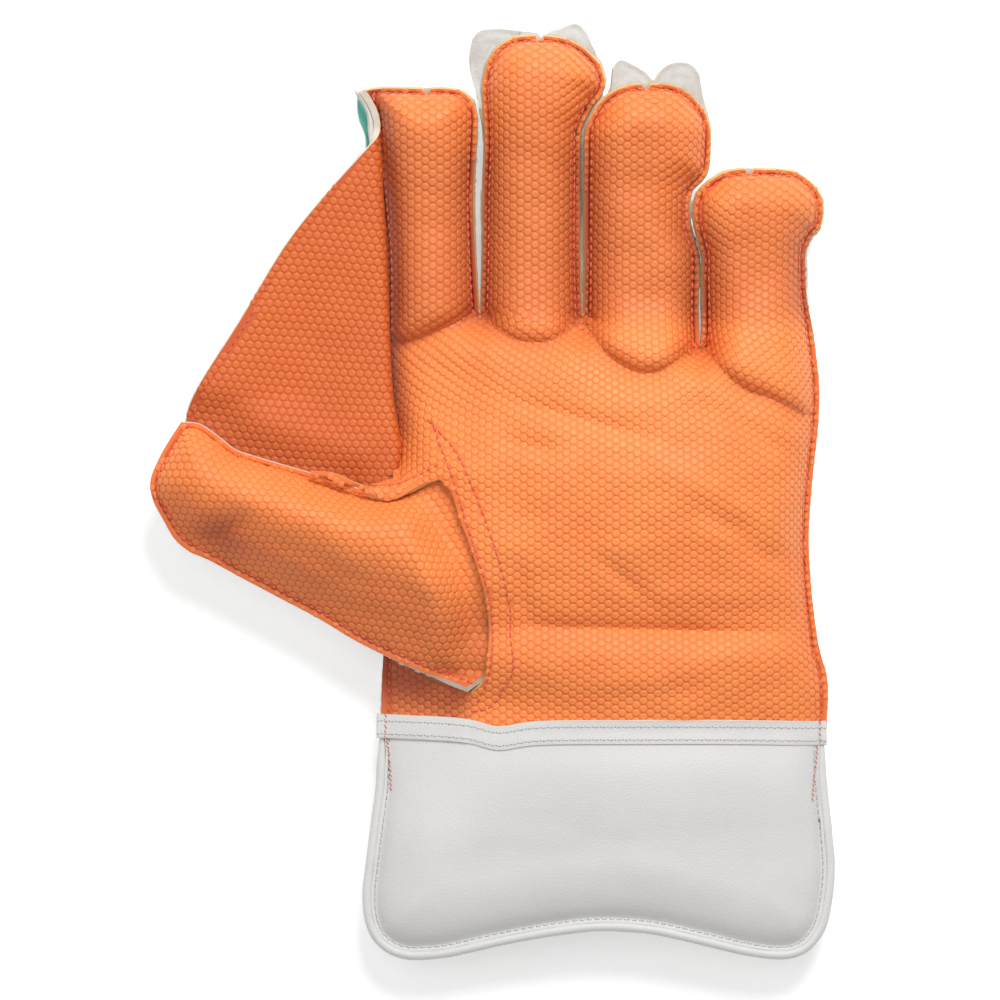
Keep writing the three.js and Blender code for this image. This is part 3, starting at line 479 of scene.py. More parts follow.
def palm_height(at, detail=True):
    away, roll = measured(at)
    seam = seam_at(at, roll)
    rise = puff(away)
    z = seam + (palm_crown(at, seam) + folds_at(at) + creases_at(at) - seam) * rise
    if detail:
        z += rise * (0.8 * ripple(at, 22, 3.1, (0.8, 1.2)) + 0.35 * ripple(at, 10, 7.7, (0.8, 1.3)))
        z -= GROOVE_DEPTH * np.exp(-((away - LIP_WIDTH) / GROOVE_WIDTH) ** 2)
    return z


def slope_of(level, at, step=0.5):
    """How much longer than its plan a step is where a field of heights slopes."""
    here = level(at)
    across = (level(at + (step, 0)) - here) / step
    along = (level(at + (0, step)) - here) / step
    return np.sqrt(1 + across ** 2 + along ** 2)


def back_level(finger=None):
    def level(at):
        roll = roll_of(finger, at) if finger else measured(at)[1]
        return SEAM_HEIGHT + lift_at(at) + roll
    return level


def back_height(at):
    level = back_level()
    depth = FINGER_BACK_DEPTH * puff(measured(at)[0])
    return np.maximum(level(at) - WALL_GAP * slope_of(level, at) - depth, LEATHER_WALL / 2)


# Thumb: shares of its length from its root, and of its width off its centre line
thumb_root = on_palm((0.214, 0.318))[0]


def on_thumb(*rows):
    rows = np.array(rows, float)
    x = -rows[:, 0] * THUMB_LENGTH * math.cos(THUMB_LEAN) + rows[:, 1] * THUMB_WIDTH * math.sin(THUMB_LEAN)
    y = rows[:, 0] * THUMB_LENGTH * math.sin(THUMB_LEAN) + rows[:, 1] * THUMB_WIDTH * math.cos(THUMB_LEAN)
    return np.column_stack([x, y]) + thumb_root


THUMB_UPPER = ((1.007, 0.29), (0.954, 0.31), (0.891, 0.287), (0.825, 0.252), (0.767, 0.252), (0.666, 0.26),
               (0.575, 0.268))
thumb_tip = spline(on_thumb(
    (0.962, -0.182), (1.011, -0.108), (1.036, -0.03), (1.035, 0.082), (1.023, 0.19), (1.007, 0.29)))
thumb_lower = spline(on_thumb(
    (0.962, -0.182), (0.908, -0.253), (0.856, -0.285), (0.796, -0.292), (0.67, -0.323), (0.541, -0.353),
    (0.413, -0.383), (0.298, -0.42), (0.197, -0.44), (0.046, -0.457), (-0.075, -0.462)))
thumb_upper = spline(on_thumb(
    *THUMB_UPPER, (0.473, 0.27), (0.418, 0.275), (0.364, 0.3), (0.313, 0.35), (0.27, 0.395), (0.204, 0.439)))
thumb_back_upper = spline(on_thumb(*THUMB_UPPER, (0.437, 0.284), (0.29, 0.361), (0.204, 0.439)))
thumb_tuck = spline(on_thumb(
    (-0.075, -0.462), (-0.095, -0.42), (-0.122, -0.35), (-0.14, -0.28), (-0.134, -0.18), (-0.103, -0.057),
    (-0.043, 0.113), (0.027, 0.251), (0.1, 0.36), (0.204, 0.439)))
thumb_back_root = spline(on_palm(
    (0.186, 0.08), (0.215, 0.11), (0.226, 0.171), (0.228, 0.243), (0.219, 0.31), (0.197, 0.395),
    (0.16, 0.504), (0.135, 0.56)))

# Heights of the thumb's seams as shares of its seam height, and shares of its crown across and along it
THUMB_SEAMS = [
    # along, lower seam, upper seam
    (-0.12, 1.2, 1.2), (0.05, 1.13, 1.15), (0.2, 1.04, 1.03), (0.45, 0.95, 0.97), (0.7, 0.94, 1.06),
    (1.04, 0.98, 1.04),
]
THUMB_ACROSS = [
    # lower to upper, crown
    (0, 0.2), (0.15, 0.32), (0.3, 0.62), (0.5, 0.96), (0.64, 1.03), (0.82, 0.85), (1, 0.5),
]
THUMB_ALONG = [
    # along, crown
    (-0.12, 0.75), (0.1, 0.85), (0.4, 1), (0.7, 0.85), (0.9, 0.6), (1.04, 0.4),
]


def thumb_shares(at):
    d = at - thumb_root
    along = (d[:, 1] * math.sin(THUMB_LEAN) - d[:, 0] * math.cos(THUMB_LEAN)) / THUMB_LENGTH
    across = (d[:, 0] * math.sin(THUMB_LEAN) + d[:, 1] * math.cos(THUMB_LEAN)) / THUMB_WIDTH
    return along, np.clip((across + 0.42 - 0.12 * along) / (0.8 - 0.2 * along), 0, 1)


def thumb_seam_at(at):
    along, across = thumb_shares(at)
    lower, upper = section(THUMB_SEAMS, along).T
    return THUMB_SEAM * (lower + (upper - lower) * across)


def thumb_height(at, detail=True):
    along, across = thumb_shares(at)
    away = distance([thumb_lower, thumb_tip, thumb_upper], at)
    crown = THUMB_CROWN * section(THUMB_ACROSS, across)[:, 0] * section(THUMB_ALONG, along)[:, 0]
    dome = thumb_seam_at(at) + crown * puff(away)
    if detail:
        dome += puff(away) * (
            folds_at(at, THUMB_FOLDS) + 0.6 * ripple(at, 16, 8.4) + 0.25 * ripple(at, 8, 4.2))
        dome -= GROOVE_DEPTH * np.exp(-((away - LIP_WIDTH) / GROOVE_WIDTH) ** 2)
    under = palm_height(at, detail) - TUCK_DROP
    tuck = ease(0.06, 0.13, at[:, 1] / PALM_LENGTH) * (1 - ease(4, TUCK_WIDTH, distance([cut_line], at)))
    return dome + (under - dome) * tuck


def thumb_back_height(at):
    away = distance([thumb_lower, thumb_tip, thumb_back_upper], at)
    along, _ = thumb_shares(at)
    depth = THUMB_BACK_DEPTH * (1 - 0.5 * ease(0.2, 1, along)) * puff(away)
    level = np.minimum(thumb_seam_at(at), thumb_height(at, False))
    hung = level - THUMB_BACK_DROP - depth
    root = (1 - ease(1, 14, distance([cut_line], at))) * puff(away)
    return np.maximum(hung + (LEATHER_WALL / 2 - hung) * root, LEATHER_WALL / 2)


# Web: from its free edge to the crest over the index finger's seam, and down to the thumb
web_edge = spline(np.vstack([
    on_thumb((0.999, 0.264), (1.007, 0.39)),
    on_palm((-0.312, 0.99), (-0.203, 1.186), (-0.105, 1.318), (-0.05, 1.385), (-0.018, 1.425),
            (-0.007, 1.455), (-0.01, 1.49), (-0.024, 1.524), (-0.04, 1.55))]))
web_crest = spline(on_palm(
    (0.03, 0.565), (0.037, 0.6), (0.046, 0.635), (0.049, 0.665), (0.042, 0.71), (0.035, 0.75), (0.028, 0.8),
    (0.021, 0.92), (0.018, 1.04), (0.013, 1.16), (0.007, 1.285), (0.003, 1.385), (-0.001, 1.455),
    (-0.003, 1.49), (-0.017, 1.526), (-0.035, 1.553)))
web_foot = spline(np.vstack([
    on_thumb((0.999, 0.264), (0.905, 0.275), (0.832, 0.224), (0.704, 0.212), (0.584, 0.228),
             (0.479, 0.23), (0.406, 0.235)),
    on_palm((-0.01, 0.55), (0.03, 0.565))]))


def web_height(at, detail=True):
    from_crest = distance([web_crest], at)
    from_edge = distance([web_edge, web_foot], at)
    roll = (WEB_RISE - WALL_GAP - 1.2) * (1 - np.clip(from_crest / CREST_WIDTH, 0, 1)) ** 2
    sag = WEB_SAG * ease(0, 30, from_crest) * ease(0, 30, from_edge)
    drop = FOOT_DROP * (1 - ease(3, 16, distance([web_foot], at))) * ease(2, 14, from_crest)
    z = SEAM_HEIGHT + WEB_RISE + lift_at(at) - roll - sag - drop
    if detail:
        away = distance([web_edge], at)
        z += 0.35 * ripple(at, 16, 5.7) * ease(2, 10, away) * ease(2, 10, from_crest)
        z -= GROOVE_DEPTH * np.exp(-((away - LIP_WIDTH) / GROOVE_WIDTH) ** 2)
    return z


# The flared lobes that reach past a fingertip, in the finger's own shares
EARS = {
    "middle": {
        "left": [(0.25, -0.48), (0.45, -0.475), (0.62, -0.46), (0.75, -0.5), (0.865, -0.58), (0.937, -0.59)],
        "tip": [(0.984, -0.57), (1.013, -0.504), (1.024, -0.351), (1.017, -0.113), (1.009, 0.049),
                (0.991, 0.096), (1.013, 0.163), (1.024, 0.268), (1.042, 0.372), (1.042, 0.439),
                (1.013, 0.515)],
        "right": [(0.25, 0.51), (0.5, 0.52), (0.63, 0.52), (0.72, 0.6), (0.847, 0.706), (0.93, 0.62)],
    },
    "ring": {
        "left": [(0.3, -0.542), (0.55, -0.535), (0.7, -0.53), (0.81, -0.51), (0.915, -0.385), (0.97, -0.31)],
        "tip": [(1.06, -0.285), (1.092, -0.22), (1.075, -0.095), (1.043, 0.038), (1.014, 0.105),
                (1.047, 0.162), (1.075, 0.238), (1.088, 0.371), (1.075, 0.476), (1.043, 0.543)],
        "right": [(0.1, 0.545), (0.285, 0.56), (0.354, 0.53), (0.431, 0.475), (0.517, 0.466), (0.57, 0.485),
                  (0.65, 0.62), (0.823, 0.657), (0.937, 0.59)],
    },
}

# Gauntlet: shares of the palm's width and of the gauntlet's length, from its seam down
CUFF_TOP = WRIST_EDGE * PALM_LENGTH - CLEARANCE


def on_cuff(*rows):
    rows = np.array(rows, float)
    return np.column_stack([rows[:, 0] * PALM_WIDTH, CUFF_TOP - rows[:, 1] * CUFF_LENGTH])


rim_line = spline(on_cuff(
    (-0.006, 0), (-0.008, 0.125), (-0.011, 0.254), (-0.02, 0.384), (-0.031, 0.556), (-0.04, 0.707),
    (-0.036, 0.82), (-0.018, 0.91), (0.013, 0.966), (0.056, 0.996), (0.112, 0.996), (0.161, 0.983),
    (0.268, 0.935), (0.402, 0.888), (0.491, 0.871), (0.603, 0.884), (0.714, 0.931), (0.815, 0.978),
    (0.882, 0.996), (0.926, 0.99), (0.964, 0.953), (0.996, 0.866), (1.011, 0.75), (1.018, 0.599),
    (1.013, 0.47), (1.004, 0.297), (0.998, 0.168), (1, 0)))
rim = resample(rim_line, np.linspace(0, 1, 240))
rim_inner = inward(rim, 2 * PIPING_RADIUS - CLEARANCE)
rim_middle = inward(rim, PIPING_RADIUS)


def middle_share(x):
    away = np.abs(x / PALM_WIDTH - 0.49) * 2
    return np.maximum(0, 1 - away * away)


def cuff_height(at):
    across = np.clip(at[:, 0], 0.002 * PALM_WIDTH, 0.998 * PALM_WIDTH)
    edge = np.column_stack([across, np.full(len(at), WRIST_EDGE * PALM_LENGTH)])
    wrist = palm_height(edge, False)
    arch = SEAM_HEIGHT + PIPING_RADIUS + CUFF_ARCH * middle_share(at[:, 0])
    return wrist + (arch - wrist) * ease(-1.6 * BINDING_WIDTH, -0.6 * CUFF_LENGTH, at[:, 1])


def cuff_puff(at):
    """The padding rises roundly from the piping, and slowly from under the strip."""
    from_rim = distance([rim_inner[6:-6]], at)
    return puff(from_rim, CUFF_SPAN) * ease(0, 2.4 * CUFF_SPAN, CUFF_TOP - at[:, 1] + 3)


def cuff_top_at(at):
    return cuff_height(at) + CUFF_EDGE / 2 + CUFF_CROWN * cuff_puff(at)


def cuff_back_height(at):
    under = np.minimum(cuff_height(at), SEAM_HEIGHT + PIPING_RADIUS)
    edge = under - PIPING_RADIUS - CLEARANCE - CUFF_EDGE / 2 - CUFF_BACK_ARCH * middle_share(at[:, 0])
    floor = CUFF_EDGE / 2 + CUFF_PADDING
    return edge + (floor - edge) * puff(distance([rim_inner], at), CUFF_SPAN)


# Meshes

heel_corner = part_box("hand_back")[0] * 1000
SHIFT = np.array([heel_corner.x, heel_corner.y - WRIST_EDGE * PALM_LENGTH, 0])


def in_frame(points):
    return (np.asarray(points, float) + SHIFT) / 1000


def fill(ring, step, rows=()):
    """Triangles over a plan outline: its own points, rows along it and a staggered grid inside them."""
    closed = np.vstack([ring, ring[:1]])
    area = np.sum(closed[:-1, 0] * closed[1:, 1] - closed[1:, 0] * closed[:-1, 1])
    inner = []
    for row in rows:
        line = inward(closed, row if area > 0 else -row)
        inner.append(line[inside(closed, line) & (distance([closed], line) > 0.97 * row)])
    low, high = ring.min(0), ring.max(0)
    levels = np.arange(low[1], high[1], step * 0.866)
    across = np.arange(low[0], high[0], step)
    grid = np.vstack([
        np.column_stack([across + (k % 2) * step / 2, np.full(len(across), y)])
        for k, y in enumerate(levels)])
    grid = grid[inside(closed, grid)]
    grid = grid[distance([closed], grid) > max(rows, default=0) + 0.7 * step]
    grid = np.vstack([*inner, grid])
    count = len(ring)
    edges = [(i, (i + 1) % count) for i in range(count)]
    points = [Vector(p) for p in np.vstack([ring, grid])]
    found = geometry.delaunay_2d_cdt(points, edges, [], 1, 1e-6)
    plan = np.array([tuple(v) for v in found[0]])
    faces = np.array([tuple(f) for f in found[2]])
    a, b, c = (plan[faces[:, k]] for k in range(3))
    area = (b[:, 0] - a[:, 0]) * (c[:, 1] - a[:, 1]) - (b[:, 1] - a[:, 1]) * (c[:, 0] - a[:, 0])
    faces[area < 0] = faces[area < 0][:, ::-1]
    return plan, faces


def normals_of(points, faces):
    a, b, c = (points[faces[:, k]] for k in range(3))
    across = np.cross(b - a, c - a)
    total = np.column_stack([
        np.bincount(faces.ravel(), np.repeat(across[:, k], 3), len(points)) for k in range(3)])
    return total / np.maximum(np.linalg.norm(total, axis=1), 1e-12)[:, None]


def border_of(faces):
    """The edges that only one face has, each in its face's direction."""
    edges = np.vstack([faces[:, [0, 1]], faces[:, [1, 2]], faces[:, [2, 0]]])
    known = set(map(tuple, edges))
    return np.array([e for e in known if (e[1], e[0]) not in known])


def mesh_piece(name, points, faces, materials, slots=None, smooth=True):
    mesh = bpy.data.meshes.new(name)
    mesh.from_pydata(in_frame(points).tolist(), [], [tuple(map(int, f)) for f in faces])
    for material in materials:
        mesh.materials.append(material)
    if slots is not None:
        mesh.polygons.foreach_set("material_index", np.asarray(slots, np.int32))
    mesh.polygons.foreach_set("use_smooth", np.full(len(mesh.polygons), smooth))
    mesh.update()
    piece = bpy.data.objects.new(name, mesh)
    bpy.context.scene.collection.objects.link(piece)
    return piece


def shell(name, ring, height, wall, step, materials, skive=0.0, rows=()):
    """A sheet over a plan outline, with a wall of even thickness or (above, below) fields."""
    plan, faces = fill(ring, step, rows)
    middle = np.column_stack([plan, height(plan)])
    normal = normals_of(middle, faces)
    above, below = wall if isinstance(wall, tuple) else (wall / 2, wall / 2)
    above = above(plan) if callable(above) else np.full(len(plan), above)
    below = below(plan) if callable(below) else np.full(len(plan), below)
    upper = middle + normal * above[:, None]
    lower = middle - normal * below[:, None]
    border = border_of(faces)
    if skive:
        turn = np.zeros((len(plan), 2))
        step_of = plan[border[:, 1]] - plan[border[:, 0]]
        step_of /= np.maximum(np.hypot(*step_of.T), 1e-9)[:, None]
        left = np.column_stack([-step_of[:, 1], step_of[:, 0]])
        for k in range(2):
            np.add.at(turn, border[:, k], left)
        size = np.hypot(*turn.T)
        turn[size > 1e-6] /= size[size > 1e-6, None]
        upper[:, :2] += turn * np.reshape(skive(plan) if callable(skive) else skive, (-1, 1))
    count = len(plan)
    walls = np.vstack([
        np.column_stack([border[:, 1], border[:, 0], border[:, 0] + count]),
        np.column_stack([border[:, 1], border[:, 0] + count, border[:, 1] + count])])
    every = np.vstack([faces, faces[:, ::-1] + count, walls])
    slots = np.repeat([0, 2, 1], [len(faces), len(faces), len(walls)])
    piece = mesh_piece(name, np.vstack([upper, lower]), every, materials, slots)
    top = {"plan": plan, "points": upper, "faces": faces, "normals": normals_of(upper, faces)}
    sharp = piece.data.attributes.new("sharp_edge", "BOOLEAN", "EDGE")
    border_pairs = border.tolist()
    rims = {tuple(sorted(pair)) for pair in border_pairs}
    rims |= {tuple(sorted((a + count, b + count))) for a, b in border_pairs}
    sharp.data.foreach_set("value", [tuple(sorted(e.vertices)) in rims for e in piece.data.edges])
    return piece, top


def flattened(top):
    """The top face as it would lie flat on a bench, turned and placed to fit its plan, in millimetres."""
    piece = mesh_piece("flat_try", top["points"], top["faces"], [])
    bpy.context.view_layer.objects.active = piece
    piece.select_set(True)
    piece.data.uv_layers.new(name="flat")
    bpy.ops.object.mode_set(mode="EDIT")
    bpy.ops.mesh.select_all(action="SELECT")
    bpy.ops.uv.unwrap(method="MINIMUM_STRETCH", margin=0)
    bpy.ops.object.mode_set(mode="OBJECT")
    corners = np.empty(len(piece.data.loops), np.int32)
    piece.data.loops.foreach_get("vertex_index", corners)
    uv = np.empty(len(corners) * 2, np.float32)
    piece.data.uv_layers["flat"].data.foreach_get("uv", uv)
    flat = np.zeros((len(top["plan"]), 2))
    flat[corners] = uv.reshape(-1, 2)
    bpy.data.objects.remove(piece)

    def area(points):
        a, b, c = (points[top["faces"][:, k]] for k in range(3))
        return np.linalg.norm(np.cross(b - a, c - a), axis=1).sum()

    scale = math.sqrt(area(top["points"]) / area(np.column_stack([flat, np.zeros(len(flat))])))
    centre, plan_centre = flat.mean(0), top["plan"].mean(0)
    turn = np.sum(((top["plan"] - plan_centre) @ [1, 1j]) * np.conj((flat - centre) @ [1, 1j]))
    placed = ((flat - centre) @ [1, 1j]) * (turn / abs(turn)) * scale
    return np.column_stack([placed.real, placed.imag]) + plan_centre


# How many steps of the field below are averaged to either side: across on the palm and fingers, and along
PALM_REACH = 14
FINGER_REACH = 26
ALONG_REACH = 20


def rolled_out(top):
    """Where the palm's points lie on its cut before it is bent: measured across from the middle of the
    palm or of a finger, and along from the wrist, with the creases at the fingers' roots rolled out too."""
    across = np.arange(-0.2, 1.05, 0.0075) * PALM_WIDTH
    along = np.arange(-0.05, 1.72, 0.008) * PALM_LENGTH
    x, y = np.meshgrid(across, along)
    z = palm_height(np.column_stack([x.ravel(), y.ravel()]), False).reshape(x.shape)

    def summed(axis, step):
        lengths_there = np.hypot(np.diff(z, axis=axis), step)
        return np.insert(np.cumsum(lengths_there, axis=axis), 0, 0, axis=axis)

    def eased(field, axis, reach):
        """The field averaged over a reach to either side."""
        padded = np.concatenate([np.repeat(field.take([0], axis), reach, axis), field,
                                 np.repeat(field.take([-1], axis), reach, axis)], axis)
        sums = np.cumsum(padded, axis)
        sums = np.concatenate([np.zeros_like(sums.take([0], axis)), sums], axis)
        count, span = field.shape[axis], 2 * reach + 1
        return (sums.take(range(span, span + count), axis) - sums.take(range(count), axis)) / span

    def relaxed(axis, line, reach):
        arc = summed(axis, line[1] - line[0])
        plain = (line - line[0])[None] if axis else (line - line[0])[:, None]
        return plain + eased(eased(arc - plain, 1 - axis, reach), 1 - axis, reach)

    on_fingers = ease(FINGERS_START, 1.25, along / PALM_LENGTH)[:, None]
    arc_across = relaxed(1, across, PALM_REACH) * (1 - on_fingers)
    arc_across = arc_across + relaxed(1, across, FINGER_REACH) * on_fingers
    arc_along = relaxed(0, along, ALONG_REACH)

    def read(arc, at_x, at_y):
        i = (np.asarray(at_x, float) - across[0]) / (across[1] - across[0])
        j = (np.asarray(at_y, float) - along[0]) / (along[1] - along[0])
        i0 = np.clip(np.floor(i).astype(int), 0, len(across) - 2)
        j0 = np.clip(np.floor(j).astype(int), 0, len(along) - 2)
        i, j = i - i0, j - j0
        return ((arc[j0, i0] * (1 - i) + arc[j0, i0 + 1] * i) * (1 - j)
                + (arc[j0 + 1, i0] * (1 - i) + arc[j0 + 1, i0 + 1] * i) * j)

    plan = top["plan"]
    middle = PALM_WIDTH / 2
    waist = np.full(len(plan), PALM_LENGTH / 2)
    low = np.minimum(plan[:, 1], 1.08 * PALM_LENGTH)
    rolled = read(arc_along, plan[:, 0], low) - read(arc_along, plan[:, 0], waist) + waist + plan[:, 1] - low
    here = read(arc_across, plan[:, 0], plan[:, 1])

    def across_from(line):
        """How far across each point is, on the cut, from a straight line along the glove."""
        return here - read(arc_across, np.full(len(plan), line), plan[:, 1])

    flats = {"palm": np.column_stack([across_from(middle) + middle, rolled])}
    root = FINGERS_START * PALM_LENGTH
    for name, finger in FINGERS.items():
        centre = finger["centre"] * PALM_WIDTH
        root_centre = read(arc_across, centre, root) - read(arc_across, middle, root) + middle
        flats[name] = np.column_stack([across_from(centre) + root_centre, rolled])
    return flats


# Node trees

class Nodes:
    """A node tree with short words for adding nodes and joining them."""

    def __init__(self, tree):
        self.tree = tree

    def add(self, kind, inputs=None, **settings):
        made = self.tree.nodes.new(kind)
        for key, value in settings.items():
            setattr(made, key, value)
        for key, value in (inputs or {}).items():
            if isinstance(value, bpy.types.NodeSocket):
                self.tree.links.new(value, made.inputs[key])
            else:
                made.inputs[key].default_value = value
        return made

    def math(self, operation, *values, kind="ShaderNodeMath"):
        made = self.add(kind, dict(enumerate(values)), operation=operation)
        gives_number = "Vector" in kind and operation in ("DISTANCE", "LENGTH", "DOT_PRODUCT")
        return made.outputs[1 if gives_number else 0]

    def vector(self, operation, *values):
        return self.math(operation, *values, kind="ShaderNodeVectorMath")

    def stored(self, attribute, kind="FLOAT_VECTOR"):
        """An attribute that the mesh carries, in a geometry tree."""
        return self.add("GeometryNodeInputNamedAttribute", {"Name": attribute}, data_type=kind).outputs[0]

    def made_real(self, instances, material):
        """Instances turned into one smooth painted mesh."""
        real = self.add("GeometryNodeRealizeInstances", {"Geometry": instances.outputs[0]})
        smooth = self.add("GeometryNodeSetShadeSmooth", {"Geometry": real.outputs[0]})
        return self.add("GeometryNodeSetMaterial", {"Geometry": smooth.outputs[0], "Material": material})


def new_group(name, kind, inputs, outputs):
    tree = bpy.data.node_groups.new(name, kind)
    for side, sockets in (("INPUT", inputs), ("OUTPUT", outputs)):
        for label, socket_kind, *value in sockets:
            made = tree.interface.new_socket(label, in_out=side, socket_type="NodeSocket" + socket_kind)
            if value:
                made.default_value = value[0]
    nodes = Nodes(tree)
    return tree, nodes, nodes.add("NodeGroupInput").outputs, nodes.add("NodeGroupOutput").inputs


def pimple_tree():
    """Round flat pimples in staggered rows over a flat cut, carried to where the cut lies on the glove."""
    tree, nodes, given, result = new_group("pimpled_rubber", "GeometryNodeTree", [
        ("Geometry", "Geometry"), ("Along", "Float", 0.0027), ("Across", "Float", 0.0024),
        ("Turn", "Float", 0.0), ("Columns", "Int", 10), ("Rows", "Int", 10), ("Centre", "Vector"),
        ("Foot", "Float", 0.001), ("Head", "Float", 0.001), ("Height", "Float", 0.0005),
        ("Dimple", "Float", 0.0001), ("Sides", "Int", 9), ("Material", "Material"),
    ], [("Geometry", "Geometry")])
    size_x = nodes.math("MULTIPLY", given["Across"], nodes.math("SUBTRACT", given["Columns"], 1.0))
    size_y = nodes.math("MULTIPLY", given["Along"], nodes.math("SUBTRACT", given["Rows"], 1.0))
    grid = nodes.add("GeometryNodeMeshGrid", {
        "Size X": size_x, "Size Y": size_y, "Vertices X": given["Columns"], "Vertices Y": given["Rows"]})
    column = nodes.math("FLOOR", nodes.math(
        "DIVIDE", nodes.add("GeometryNodeInputIndex").outputs[0], given["Rows"]))
    odd = nodes.math("MODULO", column, 2.0)
    half = nodes.math("MULTIPLY", odd, nodes.math("MULTIPLY", given["Along"], 0.5))
    offset = nodes.add("ShaderNodeCombineXYZ", {"Y": half})
    staggered = nodes.add("GeometryNodeSetPosition", {
        "Geometry": grid.outputs["Mesh"], "Offset": offset.outputs[0]})
    turn = nodes.add("ShaderNodeCombineXYZ", {"Z": given["Turn"]})
    turn = nodes.add("FunctionNodeEulerToRotation", {"Euler": turn.outputs[0]})
    lattice = nodes.add("GeometryNodeTransform", {
        "Geometry": staggered.outputs[0], "Translation": given["Centre"], "Rotation": turn.outputs[0]})
    place = nodes.add("GeometryNodeInputPosition").outputs[0]

    def sampled(attribute, kind):
        value = place if attribute == "position" else nodes.stored(attribute, kind)
        found = nodes.add("GeometryNodeSampleNearestSurface", {
            "Mesh": given["Geometry"], "Value": value, "Sample Position": place}, data_type=kind)
        return found.outputs[0]

    from_cut = nodes.vector("DISTANCE", sampled("position", "FLOAT_VECTOR"), place)
    off_cut = nodes.math("GREATER_THAN", from_cut, 1e-5)
    no_room = nodes.math("LESS_THAN", sampled("room", "FLOAT"), 0.0)
    kept = nodes.add("GeometryNodeDeleteGeometry", {
        "Geometry": lattice.outputs[0], "Selection": nodes.math("MAXIMUM", off_cut, no_room)}, domain="POINT")
    # Each pimple keeps the tilt, the fit and the painted shade of the sheet under it
    for attribute, kind in (("tilt", "FLOAT_VECTOR"), ("fit", "FLOAT"), ("painted_shade", "FLOAT")):
        kept = nodes.add("GeometryNodeStoreNamedAttribute", {
            "Geometry": kept.outputs[0], "Name": attribute, "Value": sampled(attribute, kind)},
            data_type=kind, domain="POINT")
    carried = nodes.add("GeometryNodeSetPosition", {
        "Geometry": kept.outputs[0], "Position": sampled("place", "FLOAT_VECTOR")})
    cone = nodes.add("GeometryNodeMeshCone", {
        "Vertices": given["Sides"], "Side Segments": 1, "Fill Segments": 2, "Radius Top": given["Head"],
        "Radius Bottom": given["Foot"], "Depth": given["Height"]}, fill_type="TRIANGLE_FAN")
    open_cone = nodes.add("GeometryNodeDeleteGeometry", {
        "Geometry": cone.outputs["Mesh"], "Selection": cone.outputs["Bottom"]}, domain="FACE")
    level = nodes.add("ShaderNodeSeparateXYZ", {0: place})
    from_axis = nodes.vector("LENGTH", nodes.add("ShaderNodeCombineXYZ", {
        "X": level.outputs["X"], "Y": level.outputs["Y"]}).outputs[0])
    centre = nodes.math("LESS_THAN", from_axis, nodes.math("MULTIPLY", given["Head"], 0.2))
    sunk = nodes.add("ShaderNodeCombineXYZ", {"Z": nodes.math("MULTIPLY", given["Dimple"], -1.0)})
    dimpled = nodes.add("GeometryNodeSetPosition", {
        "Geometry": open_cone.outputs[0], "Selection": centre, "Offset": sunk.outputs[0]})
    upright = nodes.add("FunctionNodeAlignRotationToVector", {"Vector": nodes.stored("tilt")}, axis="Z")
    share = nodes.stored("fit", "FLOAT")
    cut_down = nodes.add("ShaderNodeCombineXYZ", {"X": share, "Y": share, "Z": 1.0})
    set_out = nodes.add("GeometryNodeInstanceOnPoints", {
        "Points": carried.outputs[0], "Instance": dimpled.outputs[0], "Rotation": upright.outputs[0],
        "Scale": cut_down.outputs[0]})
    tree.links.new(nodes.made_real(set_out, given["Material"]).outputs[0], result["Geometry"])
    return tree


def stitch_tree():
    """Short round stitches laid along lines that carry the leather's normal."""
    tree, nodes, given, result = new_group("stitches", "GeometryNodeTree", [
        ("Geometry", "Geometry"), ("Spacing", "Float", 0.003), ("Length", "Float", 0.002),
        ("Thickness", "Float", 0.0008), ("Slant", "Float", 0.0), ("Material", "Material"),
    ], [("Geometry", "Geometry")])
    curve = nodes.add("GeometryNodeMeshToCurve", {"Mesh": given["Geometry"]})
    cut = nodes.add("GeometryNodeResampleCurve", {
        "Curve": curve.outputs[0], "Length": given["Spacing"]}, mode="LENGTH")
    ball = nodes.add("GeometryNodeMeshUVSphere", {"Segments": 6, "Rings": 4, "Radius": 0.5})
    size = nodes.add("ShaderNodeCombineXYZ", {
        "X": given["Length"], "Y": given["Thickness"], "Z": given["Thickness"]})
    stitch = nodes.add("GeometryNodeTransform", {"Geometry": ball.outputs["Mesh"], "Scale": size.outputs[0]})
    along = nodes.add("FunctionNodeAlignRotationToVector", {
        "Vector": nodes.add("GeometryNodeInputTangent").outputs[0]}, axis="X")
    upright = nodes.add("FunctionNodeAlignRotationToVector", {
        "Rotation": along.outputs[0], "Vector": nodes.stored("tilt")}, axis="Z", pivot_axis="X")
    slant = nodes.add("FunctionNodeEulerToRotation", {
        "Euler": nodes.add("ShaderNodeCombineXYZ", {"Z": given["Slant"]}).outputs[0]})
    turned = nodes.add("FunctionNodeRotateRotation", {
        "Rotation": upright.outputs[0], "Rotate By": slant.outputs[0]}, rotation_space="LOCAL")
    laid = nodes.add("GeometryNodeInstanceOnPoints", {
        "Points": cut.outputs[0], "Instance": stitch.outputs[0], "Rotation": turned.outputs[0]})
    tree.links.new(nodes.made_real(laid, given["Material"]).outputs[0], result["Geometry"])
    return tree


def stored(mesh, attribute, values):
    """A number or a vector kept at each point of a mesh, for its trees and its material."""
    kind, key = ("FLOAT_VECTOR", "vector") if np.ndim(values) == 2 else ("FLOAT", "value")
    mesh.attributes.new(attribute, kind, "POINT").data.foreach_set(key, values.astype(np.float32).ravel())


